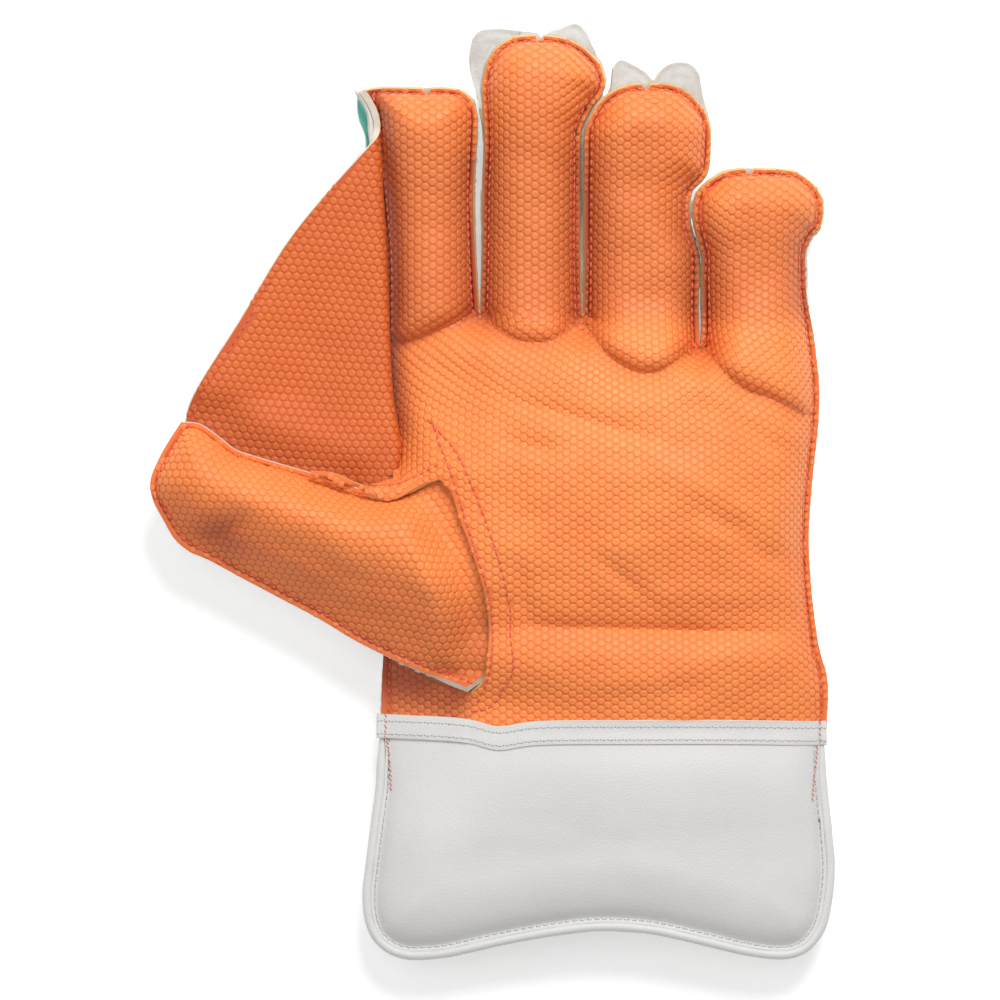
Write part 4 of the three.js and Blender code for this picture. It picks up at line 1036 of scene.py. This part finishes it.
def grown(name, source, tree, values):
    """What a node tree makes of a source mesh, as a plain piece."""
    modifier = source.modifiers.new(tree.name, "NODES")
    modifier.node_group = tree
    for item in tree.interface.items_tree:
        if item.in_out == "INPUT" and item.name in values:
            modifier[item.identifier] = values[item.name]
    bpy.context.view_layer.update()
    evaluated = source.evaluated_get(bpy.context.evaluated_depsgraph_get())
    mesh = bpy.data.meshes.new_from_object(evaluated)
    source.modifiers.remove(modifier)
    bpy.data.objects.remove(source)
    mesh.name = name
    for attribute in [a.name for a in mesh.attributes if a.name in ("tilt", "place", "room", "fit")]:
        mesh.attributes.remove(mesh.attributes[attribute])
    piece = bpy.data.objects.new(name, mesh)
    bpy.context.scene.collection.objects.link(piece)
    return piece


# Finishes

def srgb(red, green, blue):
    def linear(value):
        value /= 255
        return value / 12.92 if value <= 0.04045 else ((value + 0.055) / 1.055) ** 2.4
    return linear(red), linear(green), linear(blue), 1.0


def tone_group():
    """Uneven colour: a base colour, a second one in soft patches, and a fine speckle of it."""
    tree, nodes, given, result = new_group("uneven_tone", "ShaderNodeTree", [
        ("Vector", "Vector"), ("Base", "Color"), ("Other", "Color"), ("Patch Size", "Float", 40.0),
        ("Amount", "Float", 0.5)], [("Color", "Color"), ("Mask", "Float")])
    patches = nodes.add("ShaderNodeTexNoise", {
        "Vector": given["Vector"], "Scale": given["Patch Size"], "Detail": 5.0, "Roughness": 0.6})
    mask = nodes.add("ShaderNodeMapRange", {
        "Value": patches.outputs["Fac"], "From Min": 0.38, "From Max": 0.68})
    amount = nodes.math("MULTIPLY", mask.outputs[0], given["Amount"])
    mixed = nodes.add("ShaderNodeMix", {0: amount, 6: given["Base"], 7: given["Other"]}, data_type="RGBA")
    tree.links.new(mixed.outputs[2], result["Color"])
    tree.links.new(mask.outputs[0], result["Mask"])
    return tree


def grain_group():
    """Leather grain: small cells with soft creases between them, over slow wrinkles."""
    tree, nodes, given, result = new_group("leather_grain", "ShaderNodeTree", [
        ("Vector", "Vector"), ("Cells", "Float", 900.0), ("Wrinkles", "Float", 60.0),
        ("Wrinkle Share", "Float", 0.6)], [("Height", "Float"), ("Crease", "Float")])
    bent = nodes.add("ShaderNodeTexNoise", {"Vector": given["Vector"], "Scale": 250.0, "Detail": 2.0})
    shift = nodes.add("ShaderNodeVectorMath", {0: bent.outputs["Color"], 3: 0.0012}, operation="SCALE")
    moved = nodes.vector("ADD", given["Vector"], shift.outputs[0])
    cells = nodes.add("ShaderNodeTexVoronoi", {
        "Vector": moved, "Scale": given["Cells"]}, feature="DISTANCE_TO_EDGE")
    crease = nodes.add("ShaderNodeMapRange", {"Value": cells.outputs["Distance"], "From Max": 0.18})
    slow = nodes.add("ShaderNodeTexNoise", {
        "Vector": given["Vector"], "Scale": given["Wrinkles"], "Detail": 6.0, "Roughness": 0.62,
        "Distortion": 0.8})
    height = nodes.math("ADD", nodes.math("MULTIPLY", crease.outputs[0], 0.35),
                        nodes.math("MULTIPLY", slow.outputs["Fac"], given["Wrinkle Share"]))
    tree.links.new(height, result["Height"])
    tree.links.new(crease.outputs[0], result["Crease"])
    return tree


def painted_shade_group():
    """Painted shade: a colour made darker and browner by an amount."""
    tree, nodes, given, result = new_group("painted_shade", "ShaderNodeTree", [
        ("Color", "Color"), ("Soil", "Color", PAINTED_SHADE_TINT), ("Amount", "Float", 0.0)], [("Color", "Color")])
    mixed = nodes.add("ShaderNodeMix", {0: given["Amount"], 6: given["Color"], 7: given["Soil"]},
                      data_type="RGBA", blend_type="MULTIPLY")
    tree.links.new(mixed.outputs[2], result["Color"])
    return tree


tone = tone_group()
grain = grain_group()
painted_shade_tree = painted_shade_group()


def finish(name, base, other, amount, patch, roughness, bump=None, with_painted_shade=False):
    """A material with uneven tone, painted shade where asked, and with a bump of (kind, strength, distance,
    sizes ...).
    """
    material = bpy.data.materials.new(name)
    material.use_nodes = True
    nodes = Nodes(material.node_tree)
    shader = material.node_tree.nodes["Principled BSDF"]
    shader.inputs["Roughness"].default_value = roughness
    shader.inputs["Specular IOR Level"].default_value = 0.4
    where = nodes.add("ShaderNodeTexCoord").outputs["Object"]
    colour = nodes.add("ShaderNodeGroup", node_tree=tone)
    material.node_tree.links.new(where, colour.inputs["Vector"])
    colour.inputs["Base"].default_value = srgb(*base)
    colour.inputs["Other"].default_value = srgb(*other)
    colour.inputs["Patch Size"].default_value = patch
    colour.inputs["Amount"].default_value = amount
    shown = colour.outputs["Color"]
    # Painted shade: the colour is darkened where the mesh's painted shade amount is high
    if with_painted_shade:
        amount_here = nodes.add("ShaderNodeAttribute", attribute_name="painted_shade").outputs["Fac"]
        shaded_colour = nodes.add("ShaderNodeGroup", {"Color": shown, "Amount": amount_here}, node_tree=painted_shade_tree)
        shown = shaded_colour.outputs["Color"]
    material.node_tree.links.new(shown, shader.inputs["Base Color"])
    if bump:
        kind, strength, depth, *sizes = bump
        if kind == "grain":
            pattern = nodes.add("ShaderNodeGroup", node_tree=grain)
            material.node_tree.links.new(where, pattern.inputs["Vector"])
            for key, value in zip(("Cells", "Wrinkles", "Wrinkle Share"), sizes):
                pattern.inputs[key].default_value = value
            height = pattern.outputs["Height"]
        else:
            pattern = nodes.add("ShaderNodeTexNoise", {
                "Vector": where, "Scale": sizes[0], "Detail": 4.0, "Roughness": 0.6})
            height = pattern.outputs["Fac"]
        raised = nodes.add("ShaderNodeBump", {"Strength": strength, "Distance": depth, "Height": height})
        material.node_tree.links.new(raised.outputs[0], shader.inputs["Normal"])
    return material


FINE_NOISE = ("noise", 0.25, 0.0003, 900.0)
GROOVE_NOISE = ("noise", 0.3, 0.0003, 900.0)
# The rubber finishes take painted shade from their meshes
pimple_rubber = finish(
    "pimple_rubber", (241, 139, 73), (234, 123, 60), 0.6, 28.0, 0.5, FINE_NOISE, with_painted_shade=True)
# The rubber between and round the pimples is a darker copy of the pimples' rubber: painted shade in the
# grooves
shaded_groove_rubber = finish(
    "shaded_groove_rubber", (231, 123, 61), (222, 108, 51), 0.5, 28.0, 0.6, GROOVE_NOISE, with_painted_shade=True)
# The web's rubber and its grooves are darker copies of the palm's: painted shade for the web's slope away
# from the light, deeper in the grooves
shaded_web_groove = finish(
    "shaded_web_groove", (200, 91, 40), (190, 81, 35), 0.5, 28.0, 0.6, GROOVE_NOISE, with_painted_shade=True)
shaded_web_rubber = finish(
    "shaded_web_rubber", (211, 105, 47), (200, 93, 41), 0.6, 28.0, 0.5, FINE_NOISE, with_painted_shade=True)
tan_edge = finish(
    "tan_edge", (219, 184, 130), (196, 146, 92), 0.6, 300.0, 0.85, ("noise", 0.6, 0.0004, 1500.0))
pale_edge = finish(
    "pale_edge", (222, 210, 194), (204, 180, 156), 0.6, 300.0, 0.85, ("noise", 0.6, 0.0004, 1500.0))
lining = finish(
    "cloth_lining", (222, 204, 160), (205, 182, 134), 0.5, 120.0, 0.9, ("noise", 0.5, 0.0004, 1500.0))
leather = finish(
    "white_leather", (207, 206, 204), (199, 198, 196), 0.5, 30.0, 0.5,
    ("grain", 0.25, 0.0005, 900.0, 70.0, 0.6))
# The finger backs' inner face: the leather's greyer flesh side, made darker still as painted shade where it
# shows in the gaps between the fingers
flesh_side_and_gap_shade = finish(
    "leather_flesh_side_and_gap_shade", (192, 191, 187), (176, 174, 168), 0.6, 120.0, 0.7, ("noise", 0.5, 0.0006, 700.0))
raw_leather = finish(
    "leather_edge", (208, 203, 192), (188, 180, 164), 0.6, 300.0, 0.85, ("noise", 0.5, 0.0004, 1200.0))
teal = finish(
    "teal_leather", (92, 184, 168), (74, 158, 146), 0.5, 60.0, 0.45, ("grain", 0.3, 0.0004, 900.0, 60.0, 0.4))
pink_thread = finish(
    "pink_thread", (224, 100, 82), (206, 78, 66), 0.6, 400.0, 0.6, ("noise", 0.5, 0.0002, 3000.0))
brown_thread = finish("brown_thread", (206, 122, 112), (168, 84, 78), 0.6, 400.0, 0.7)
grey_thread = finish("grey_thread", (196, 200, 196), (150, 156, 150), 0.5, 500.0, 0.7)
# Needle holes: dark grey marks, painted shade inside the holes
hole_shade = finish("needle_hole_shade", (122, 124, 118), (96, 98, 94), 0.5, 500.0, 0.9)

# A sheet's upper face, cut edge and lower face
RUBBER = [shaded_groove_rubber, tan_edge, lining]
PALE_RUBBER = [shaded_groove_rubber, pale_edge, lining]
WEB_RUBBER = [shaded_web_groove, pale_edge, lining]
WHITE = [leather, raw_leather, leather]
BACKS = [flesh_side_and_gap_shade, raw_leather, leather]


def keep(piece, slot, *replaced):
    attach(piece, "root")
    if replaced:
        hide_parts(*replaced)
    return piece


def ring_of(*lines, step=0.8):
    """A closed outline through the lines, evenly cut, its last point left off."""
    line = chain(*[spaced(line, step) for line in lines])
    gap = np.hypot(*np.diff(np.vstack([line, line[:1]]), axis=0).T)
    return line[gap > 0.05]


# Facings

# Rows of mesh along a facing's lip, close together where its groove is
LIP_ROWS = [LIP_WIDTH + offset for offset in (-1.7, -0.8, 0, 0.8, 1.8)]


def cut_skive(at):
    """The cut edge shows round the fingers and the thumb's cut-out, and little along the palm's sides."""
    on_fingers = ease(0.95, 1.05, at[:, 1] / PALM_LENGTH)
    shown = np.maximum(on_fingers, 1 - ease(0.3, 1, distance([cut_line, flange_foot], at)))
    return SKIVE * (0.25 + 0.75 * shown + 0.9 * (1 - ease(0.3, 1, distance([flange_foot], at))))


def painted_shade_on_palm(at):
    """Painted shade darkens the fingers between their tips and roots, their sides, and the hidden corners:
    beside the web's crest, in the creases, and on the heel in the thumb's shadow.
    """
    along = at[:, 1] / PALM_LENGTH
    sides = 1 - puff(measured(at)[0])
    from_tips = ease(3, 24, distance([finger["tip_line"] for finger in FINGERS.values()], at))
    fingers = ease(0.93, 1.03, along)
    painted_shade = fingers * from_tips * (0.42 + 0.34 * sides) + 0.2 * sides
    painted_shade += 0.9 * (1 - ease(0, 9, distance([web_crest], at))) * ease(0.66, 0.74, along)
    painted_shade += 0.4 * np.exp(-(distance([line for line, _ in crease_lines], at) / 2.5) ** 2)
    # Painted shadow of the thumb on the heel
    under_thumb = 1 - ease(2, 26, distance([thumb_lower], at))
    under_thumb *= 1 - ease(0.15, 0.24, at[:, 0] / PALM_WIDTH)
    return np.clip(painted_shade + 1.1 * under_thumb * (along < 0.3), 0, 1)


# Painted shade on the thumb's lower flank, which faces away from the light, and in the hollow of its pucker
def painted_shade_on_thumb(at):
    along, across = thumb_shares(at)
    pucker = at - on_palm((-0.346, 0.467))[0]
    return np.clip(0.45 * (1 - ease(0.25, 0.6, across)) + 0.5 * np.exp(-(pucker ** 2).sum(1) / 60), 0, 1)


# Painted shade on the web near its foot, where it tucks under the thumb
def painted_shade_on_web(at):
    return 0.25 * (1 - ease(0, 25, distance([web_foot], at)))


# Painted shade stored at a sheet's upper and lower points
def with_painted_shade(piece, top, field):
    amount = field(top["plan"])
    stored(piece.data, "painted_shade", np.concatenate([amount, amount]))


palm_ring = ring_of(
    heel_edge, heel_top, cut_line, flange_foot_line[::-1], flange_foot[::-1],
    np.array([flange_end_foot, flange_end_top]), flange_top, index_side,
    *[finger["cut"] for finger in FINGERS.values()], palm_side[::-1], wrist_line)
palm, palm_top = shell(
    "palm_facing", palm_ring, palm_height, FACING_WALL, RUBBER_STEP, RUBBER, cut_skive, LIP_ROWS)
thumb_ring = ring_of(thumb_lower, thumb_tuck, thumb_upper[::-1], thumb_tip[::-1])
thumb, thumb_top = shell(
    "thumb_facing", thumb_ring, thumb_height, FACING_WALL, RUBBER_STEP, PALE_RUBBER, 0.2, LIP_ROWS)
web_ring = ring_of(web_foot, web_crest, np.array([web_crest[-1], web_edge[-1]]), web_edge[::-1])
web, web_top = shell("web_facing", web_ring, web_height, FACING_WALL, RUBBER_STEP, WEB_RUBBER, 0.45, LIP_ROWS)
# Each facing keeps its painted shade at its points, for its material
for piece, top, field in ((palm, palm_top, painted_shade_on_palm), (thumb, thumb_top, painted_shade_on_thumb),
                          (web, web_top, painted_shade_on_web)):
    with_painted_shade(piece, top, field)
keep(palm, "orange_rubber", "palm_facing")
keep(thumb, "orange_rubber", "thumb_facing")
keep(web, "orange_rubber", "web_facing")

# The seams on the facings, one lip inside their cut edges, and two rows round the thumb's cut-out
palm_rows = []
for finger in FINGERS.values():
    row = inward(finger["outline"], -LIP_WIDTH)
    palm_rows.append(row[distance([finger["outline"]], row) > 0.95 * LIP_WIDTH])
palm_rows += [inward(palm_side, LIP_WIDTH), inward(heel_edge, -LIP_WIDTH), spline(on_palm(
    (0.118, 0.7345), (0.1406, 0.66), (0.162, 0.6), (0.19, 0.5), (0.222, 0.39), (0.243, 0.31), (0.252, 0.233),
    (0.25, 0.154), (0.24, 0.097), (0.22, 0.047))), spline(on_palm(
    (0.1116, 0.7345), (0.167, 0.665), (0.219, 0.541), (0.271, 0.373), (0.283, 0.313), (0.291, 0.2655),
    (0.291, 0.2035), (0.297, 0.1464), (0.291, 0.1017), (0.277, 0.08), (0.263, 0.05), (0.24, 0.025),
    (0.212, 0.0186)))]
flange_row = spline(on_palm((-0.011, 0.576), (0.04, 0.58), (0.065, 0.59), (0.09, 0.603), (0.127, 0.625)))
thumb_rows = [inward(chain(thumb_lower[::-1], thumb_tip), -LIP_WIDTH)]
web_rows = [inward(web_edge, -LIP_WIDTH)[:-60]]

pimples = pimple_tree()


def pimpled(name, top, flat, faces, ring, rows, material, painted_shade, turn=0.0, size=1.0):
    """Pimples over some faces of a facing, where neither its cut edge nor a seam takes the room."""
    mesh = bpy.data.meshes.new(name)
    mesh.from_pydata((np.column_stack([flat, np.zeros(len(flat))]) / 1000).tolist(), [], faces.tolist())
    to_edge = distance([np.vstack([ring, ring[:1]])], top["plan"])
    room = np.minimum(to_edge - EDGE_ROOM, distance(rows, top["plan"]) - STITCH_ROOM)
    # The painted shade, for the pimples' colour
    stored(mesh, "painted_shade", painted_shade(top["plan"]))
    stored(mesh, "room", room)
    stored(mesh, "fit", np.clip(to_edge / PIMPLE_FOOT, 0.35, 1))
    stored(mesh, "place", in_frame(top["points"]))
    stored(mesh, "tilt", top["normals"])
    source = bpy.data.objects.new(name + "_cut", mesh)
    bpy.context.scene.collection.objects.link(source)
    made = grown(name, source, pimples, {
        "Along": size * PIMPLE_ALONG / 1000, "Across": size * PIMPLE_ACROSS / 1000, "Turn": float(turn),
        "Columns": LATTICE, "Rows": LATTICE, "Centre": (PALM_WIDTH / 2000, PALM_LENGTH / 2000, 0.0),
        "Foot": size * PIMPLE_FOOT / 1000, "Head": size * PIMPLE_HEAD / 1000, "Height": PIMPLE_HEIGHT / 1000,
        "Dimple": PIMPLE_DIMPLE / 1000, "Sides": PIMPLE_SIDES, "Material": material})
    keep(made, "orange_rubber")


# Each face of the palm's sheet takes its pimples from the cut of the palm or of the finger it belongs to
flats = rolled_out(palm_top)
middles = palm_top["plan"][palm_top["faces"]].mean(1)
owner = np.full(len(middles), "palm", object)
fingers_too = middles[:, 1] > FINGERS_START * PALM_LENGTH
to_finger = np.array([distance([finger["outline"]], middles) - 1000 * inside(
    np.vstack([finger["outline"], finger["outline"][:1]]), middles) for finger in FINGERS.values()])
owner[fingers_too] = np.array(list(FINGERS), object)[to_finger.argmin(0)][fingers_too]
for name, flat in flats.items():
    faces = palm_top["faces"][owner == name]
    pimpled("pimples_" + name, palm_top, flat, faces, palm_ring, palm_rows, pimple_rubber, painted_shade_on_palm)
pimpled("pimples_thumb", thumb_top, flattened(thumb_top), thumb_top["faces"], thumb_ring, thumb_rows,
        pimple_rubber, painted_shade_on_thumb, math.pi / 2, 1.06)
pimpled("pimples_web", web_top, flattened(web_top), web_top["faces"], web_ring, web_rows,
        shaded_web_rubber, painted_shade_on_web, math.pi / 2 - 0.075, 1.01)

# Backs

back_ring = ring_of(
    heel_edge, heel_top, cut_line, flange_foot_line[::-1],
    np.array([flange_root_foot, flange_root_top]), index_side,
    *[np.array([finger["start"], finger["end"]]) for finger in FINGERS.values()], palm_side[::-1], wrist_line,
    step=1.5)
made, _ = shell("hand_back", back_ring, back_height, LEATHER_WALL, LEATHER_STEP, WHITE)
keep(made, "white_leather", "hand_back")

for name, finger in FINGERS.items():
    lobes = EARS.get(name, finger)
    tip = on_finger(finger, lobes["tip"])
    inset = 2 * CLEARANCE
    start, end = finger["start"] + (inset, inset), finger["end"] + (-inset, inset)
    left = spline(np.vstack([start, on_finger(finger, lobes["left"]), tip[0]]))
    right = spline(np.vstack([end, on_finger(finger, lobes["right"]), tip[-1]]))
    outline = np.vstack([finger["outline"], finger["outline"][:1]])
    ring = ring_of(np.array([start, end])[::-1], left, spline(tip), right[::-1])

    def finger_back_height(at, finger=finger, outline=outline, ring=ring):
        level = back_level(finger)
        within = inside(outline, at) | (at[:, 1] < finger["root"] * PALM_LENGTH)
        depth = FINGER_BACK_DEPTH * puff(measured(at)[0]) * within
        depth += ~within * (0.8 * ripple(at, 8, 4.4) + 0.25 * ripple(at, 3, 1.4, (1.6, 0.7)))
        depth += ~within * 0.35 * np.exp(-((distance([ring], at) - 1.5) / 0.35) ** 2)
        return np.maximum(level(at) - WALL_GAP * slope_of(level, at) - depth, LEATHER_WALL / 2)

    made, _ = shell("finger_back_" + name, ring, finger_back_height, LEATHER_WALL, LOBE_STEP, BACKS, 0,
                    (0.7, 1.5, 2.2))
    keep(made, "white_leather", "finger_back_" + name)

panel_inner = resample(FINGERS["index"]["left_line"], [0.12, 0.35, 0.55, 0.7, 0.8, 0.87, 0.93, 0.99])
panel_inner[:, 0] += CLEARANCE
panel_widths = np.array([0.35, 0.45, 0.55, 0.66, 0.6, 0.9, 0.75, 0.35]) * PANEL_WIDTH
panel_outer = spline(panel_inner - np.column_stack([panel_widths, np.zeros(8)]))
panel_inner = spline(panel_inner)


def panel_height(at):
    level = back_level(FINGERS["index"])
    return level(at) - WALL_GAP * slope_of(level, at)


ring = ring_of(panel_outer[[0, 0]], np.array([panel_outer[0], panel_inner[0]]), panel_inner,
               np.array([panel_inner[-1], panel_outer[-1]]), panel_outer[::-1])
made, _ = shell("index_side_panel", ring, panel_height, LEATHER_WALL, 1.2, [teal, leather, leather], 0.4)
keep(made, "teal_leather", "index_side_panel")

# The thumb's back keeps inside the facing's edge, and shows a little past its lower corner
shown_past = (THUMB_BACK_HIDDEN + THUMB_BACK_SHOWN) * ease(-2, 7, thumb_lower[:, 0])
back_lower = inward(thumb_lower, THUMB_BACK_HIDDEN - shown_past)
back_upper = inward(thumb_back_upper, -THUMB_BACK_HIDDEN * (1 - ease(0, 12, thumb_back_upper[:, 0])))
back_tip = inward(thumb_tip, -THUMB_BACK_HIDDEN)[2:-2]
ring = ring_of(back_lower, np.array([back_lower[-1], thumb_back_root[0]]), thumb_back_root,
               np.array([thumb_back_root[-1], back_upper[-1]]), back_upper[::-1],
               np.array([back_upper[0], back_tip[-1]]), back_tip[::-1],
               np.array([back_tip[0], back_lower[0]]))
made, _ = shell("thumb_back", ring, thumb_back_height, LEATHER_WALL, LEATHER_STEP, WHITE)
keep(made, "white_leather", "thumb_back")

back_crest = web_crest - (CREST_INSET, 0)
ring = ring_of(chain(web_foot[:-1], back_crest[:1]), back_crest, np.array([back_crest[-1], web_edge[-1]]),
               web_edge[::-1])
made, _ = shell("web_backing", ring, lambda at: web_height(at, False) - WEB_BACK_DROP, LEATHER_WALL,
                LEATHER_STEP, WHITE)
keep(made, "white_leather", "web_backing")

# Gauntlet

cuff_ring = ring_of(rim_inner, np.array([rim_inner[-1], rim_inner[0]]))


def cuff_front_height(at):
    rise = cuff_puff(at)
    wrinkles = 0.3 * ripple(at, 24, 2.2, (0.6, 1.4)) + 0.1 * ripple(at, 9, 6.6, (0.7, 1.2))
    groove = 0.35 * np.exp(-((distance([rim], at) - CUFF_SEAM_INSET) / 0.5) ** 2)
    return cuff_height(at) + rise * wrinkles - groove


def cuff_crown(at):
    return CUFF_EDGE / 2 + CUFF_CROWN * cuff_puff(at)


def cuff_wall(at):
    return CUFF_EDGE / 2 + CUFF_PADDING * cuff_puff(at)


made, cuff_top = shell(
    "cuff_front", cuff_ring, cuff_front_height, (cuff_crown, cuff_wall), CUFF_STEP, WHITE, 0,
    (0.4, 0.9, 1.4, 2.2, 3.2))
keep(made, "white_leather", "cuff_front")

made, _ = shell("cuff_back", cuff_ring, cuff_back_height, (cuff_wall, cuff_wall), LEATHER_STEP, WHITE)
keep(made, "white_leather", "cuff_back")


def tube(name, path, radius, material, sides=12):
    """A round welt along a path of points."""
    along = np.gradient(path, axis=0)
    along /= np.linalg.norm(along, axis=1)[:, None]
    side = np.cross(along, (0, 0, 1.0))
    side /= np.linalg.norm(side, axis=1)[:, None]
    up = np.cross(side, along)
    turn = np.linspace(0, 2 * math.pi, sides, endpoint=False)
    radius = np.broadcast_to(radius, len(path))[:, None, None]
    points = path[:, None] + radius * (
        np.cos(turn)[None, :, None] * side[:, None] + np.sin(turn)[None, :, None] * up[:, None])
    faces = []
    for i in range(len(path) - 1):
        for k in range(sides):
            a, b = i * sides + k, i * sides + (k + 1) % sides
            faces.append((a, b, b + sides, a + sides))
    faces.append(tuple(range(sides))[::-1])
    faces.append(tuple(range((len(path) - 1) * sides, len(path) * sides)))
    return mesh_piece(name, points.reshape(-1, 3), faces, [material])


path = spaced(rim_middle[rim_middle[:, 1] < CUFF_TOP - CLEARANCE], 1.2)
path = np.column_stack([path, cuff_height(path)])
under_strip = 1 - ease(0.3 * BINDING_WIDTH, 1.6 * BINDING_WIDTH, CUFF_TOP - path[:, 1])
radius = PIPING_RADIUS * (1 - 0.45 * under_strip + 0.04 * ripple(path[:, :2], 6, 9.9))
made = tube("cuff_piping", path, radius, leather)
keep(made, "white_leather", "cuff_piping")

binding_top = spline(on_palm(
    (-0.008, 0.01), (0.194, 0), (0.263, -0.017), (0.34, -0.005), (0.58, -0.001), (0.79, -0.002),
    (0.999, -0.008)))
binding_foot = binding_top - (0, BINDING_WIDTH)
def binding_height(at):
    """The strip lies on the facing above the wrist's edge and on the gauntlet below it."""
    edge = np.column_stack([at[:, 0], np.maximum(at[:, 1], WRIST_EDGE * PALM_LENGTH)])
    slope = (palm_height(edge + (1, 0), False) - palm_height(edge - (1, 0), False)) / 2
    on_facing = palm_height(edge, False) + FACING_WALL / 2 * np.sqrt(1 + slope ** 2)
    on_gauntlet = cuff_top_at(at)
    level = on_facing + np.maximum(on_gauntlet - on_facing, 0) * ease(0, 3, CUFF_TOP - at[:, 1])
    foot = 1 - ease(0, 1.6, at[:, 1] - np.interp(at[:, 0], binding_foot[:, 0], binding_foot[:, 1]))
    lap = 0.3 * (1 - ease(0.19, 0.2, at[:, 0] / PALM_WIDTH))
    return level + UNDER_STRIP + lap - 0.3 * foot


ring = ring_of(binding_foot, np.array([binding_foot[-1], binding_top[-1]]), binding_top[::-1],
               np.array([binding_top[0], binding_foot[0]]))
made, binding_face = shell("wrist_binding", ring, binding_height, BINDING_WALL, 1.0, WHITE, 0.25, (0.4, 0.9))
keep(made, "white_leather", "wrist_binding")

# Seams

stitches = stitch_tree()


def sewn(name, lines, top, lift, material, spacing, length, thickness, slant=0.0):
    """Stitches along lines in plan, laid on a sheet's upper face."""
    skin = BVHTree.FromPolygons([Vector(p) for p in top["points"]], top["faces"].tolist())
    points, tilts, edges = [], [], []
    for line in lines:
        before = len(points)
        for x, y in spaced(line, 0.5):
            place, tilt, _, _ = skin.ray_cast(Vector((x, y, 100)), Vector((0, 0, -1)))
            if place:
                points.append(place + tilt * lift)
                tilts.append(tilt)
        edges += [(i, i + 1) for i in range(before, len(points) - 1)]
    mesh = bpy.data.meshes.new(name)
    mesh.from_pydata(in_frame(points).tolist(), edges, [])
    stored(mesh, "tilt", np.array(tilts))
    source = bpy.data.objects.new(name + "_line", mesh)
    bpy.context.scene.collection.objects.link(source)
    return keep(grown(name, source, stitches, {
        "Spacing": spacing / 1000, "Length": length / 1000, "Thickness": thickness / 1000,
        "Slant": float(slant), "Material": material}), None)


seam = {"lift": 0.2, "material": pink_thread, "spacing": 2.75, "length": 2.2, "thickness": 0.7}
sewn("palm_stitches", [*palm_rows, flange_row], palm_top, **seam)
sewn("thumb_stitches", thumb_rows, thumb_top, **seam)
sewn("web_stitches", web_rows, web_top, **seam)
binding_rows = [binding_top - (0, share * BINDING_WIDTH) for share in (0.28, 0.8)]
holes = {"material": hole_shade, "spacing": 1.2, "length": 0.5, "thickness": 0.4}
sewn("binding_stitches", binding_rows, binding_face, 0.06, grey_thread, 2.4, 1.5, 0.5, 0.12)
sewn("binding_holes", binding_rows, binding_face, -0.02, **holes)
cuff_rows = [inward(rim, CUFF_SEAM_INSET)[6:-6]]
sewn("cuff_stitches", cuff_rows, cuff_top, 0.1, grey_thread, 2.4, 1.6, 0.5)
sewn("cuff_holes", cuff_rows, cuff_top, 0.0, **holes)
TACKS = [
    # points across, down the gauntlet
    ((0.009, -0.02), (0.016, 0.07), (0.022, 0.17), (0.0245, 0.26)),
    ((0.978, 0.0), (0.975, 0.12), (0.968, 0.22), (0.965, 0.3)),
]
tack_rows = [spline(on_cuff(*points)) for points in TACKS]
tacks = {"material": brown_thread, "spacing": 1.5, "length": 1.8, "thickness": 0.45, "slant": 0.5}
sewn("side_tacks", tack_rows, cuff_top, 0.1, **tacks)
strip_rows = [np.array([[x, 1.2], [x, -BINDING_WIDTH + 1]]) for x in (0.012 * PALM_WIDTH, 0.982 * PALM_WIDTH)]
sewn("strip_tacks", strip_rows, binding_face, 0.05, **tacks)

# Floor, light and camera

floor_paint = finish("pale_floor", (250, 250, 250), (250, 250, 250), 0.0, 1.0, 0.9)
shader = next(node for node in floor_paint.node_tree.nodes if node.type == "BSDF_PRINCIPLED")
shader.inputs["Emission Color"].default_value = (1, 1, 1, 1)
shader.inputs["Emission Strength"].default_value = FLOOR_GLOW
floor = mesh_piece("floor", [(-3000, -3000, 0), (3000, -3000, 0), (3000, 3000, 0), (-3000, 3000, 0)],
                   [(0, 1, 2, 3)], [floor_paint])

scene = bpy.context.scene
world = bpy.data.worlds.new("studio")
world.use_nodes = True
world.node_tree.nodes["Background"].inputs["Color"].default_value = (1, 1, 1, 1)
world.node_tree.nodes["Background"].inputs["Strength"].default_value = WORLD_LIGHT
scene.world = world


def softbox(name, place, target, size, power):
    light = bpy.data.lights.new(name, "AREA")
    light.shape = "DISK"
    light.size = size
    light.energy = power
    lamp = bpy.data.objects.new(name, light)
    lamp.location = place
    lamp.rotation_euler = (Vector(target) - Vector(place)).to_track_quat("-Z", "Y").to_euler()
    scene.collection.objects.link(lamp)


softbox("key_light", (0.2, 0.7, 0.82), (0, 0, 0), 0.5, 10.1)
softbox("fill_light", (-0.3, 0.1, 1.3), (0, 0, 0), 0.9, 3.0)

camera = bpy.data.cameras.new("camera")
camera.sensor_width = SENSOR_WIDTH
camera.lens = SENSOR_WIDTH * (CAMERA_HEIGHT - SUBJECT_LEVEL) / FRAME_WIDTH
eye = bpy.data.objects.new("camera", camera)
eye.location = (*SUBJECT_CENTRE, CAMERA_HEIGHT)
scene.collection.objects.link(eye)
scene.camera = eye
scene.view_settings.view_transform = "Standard"
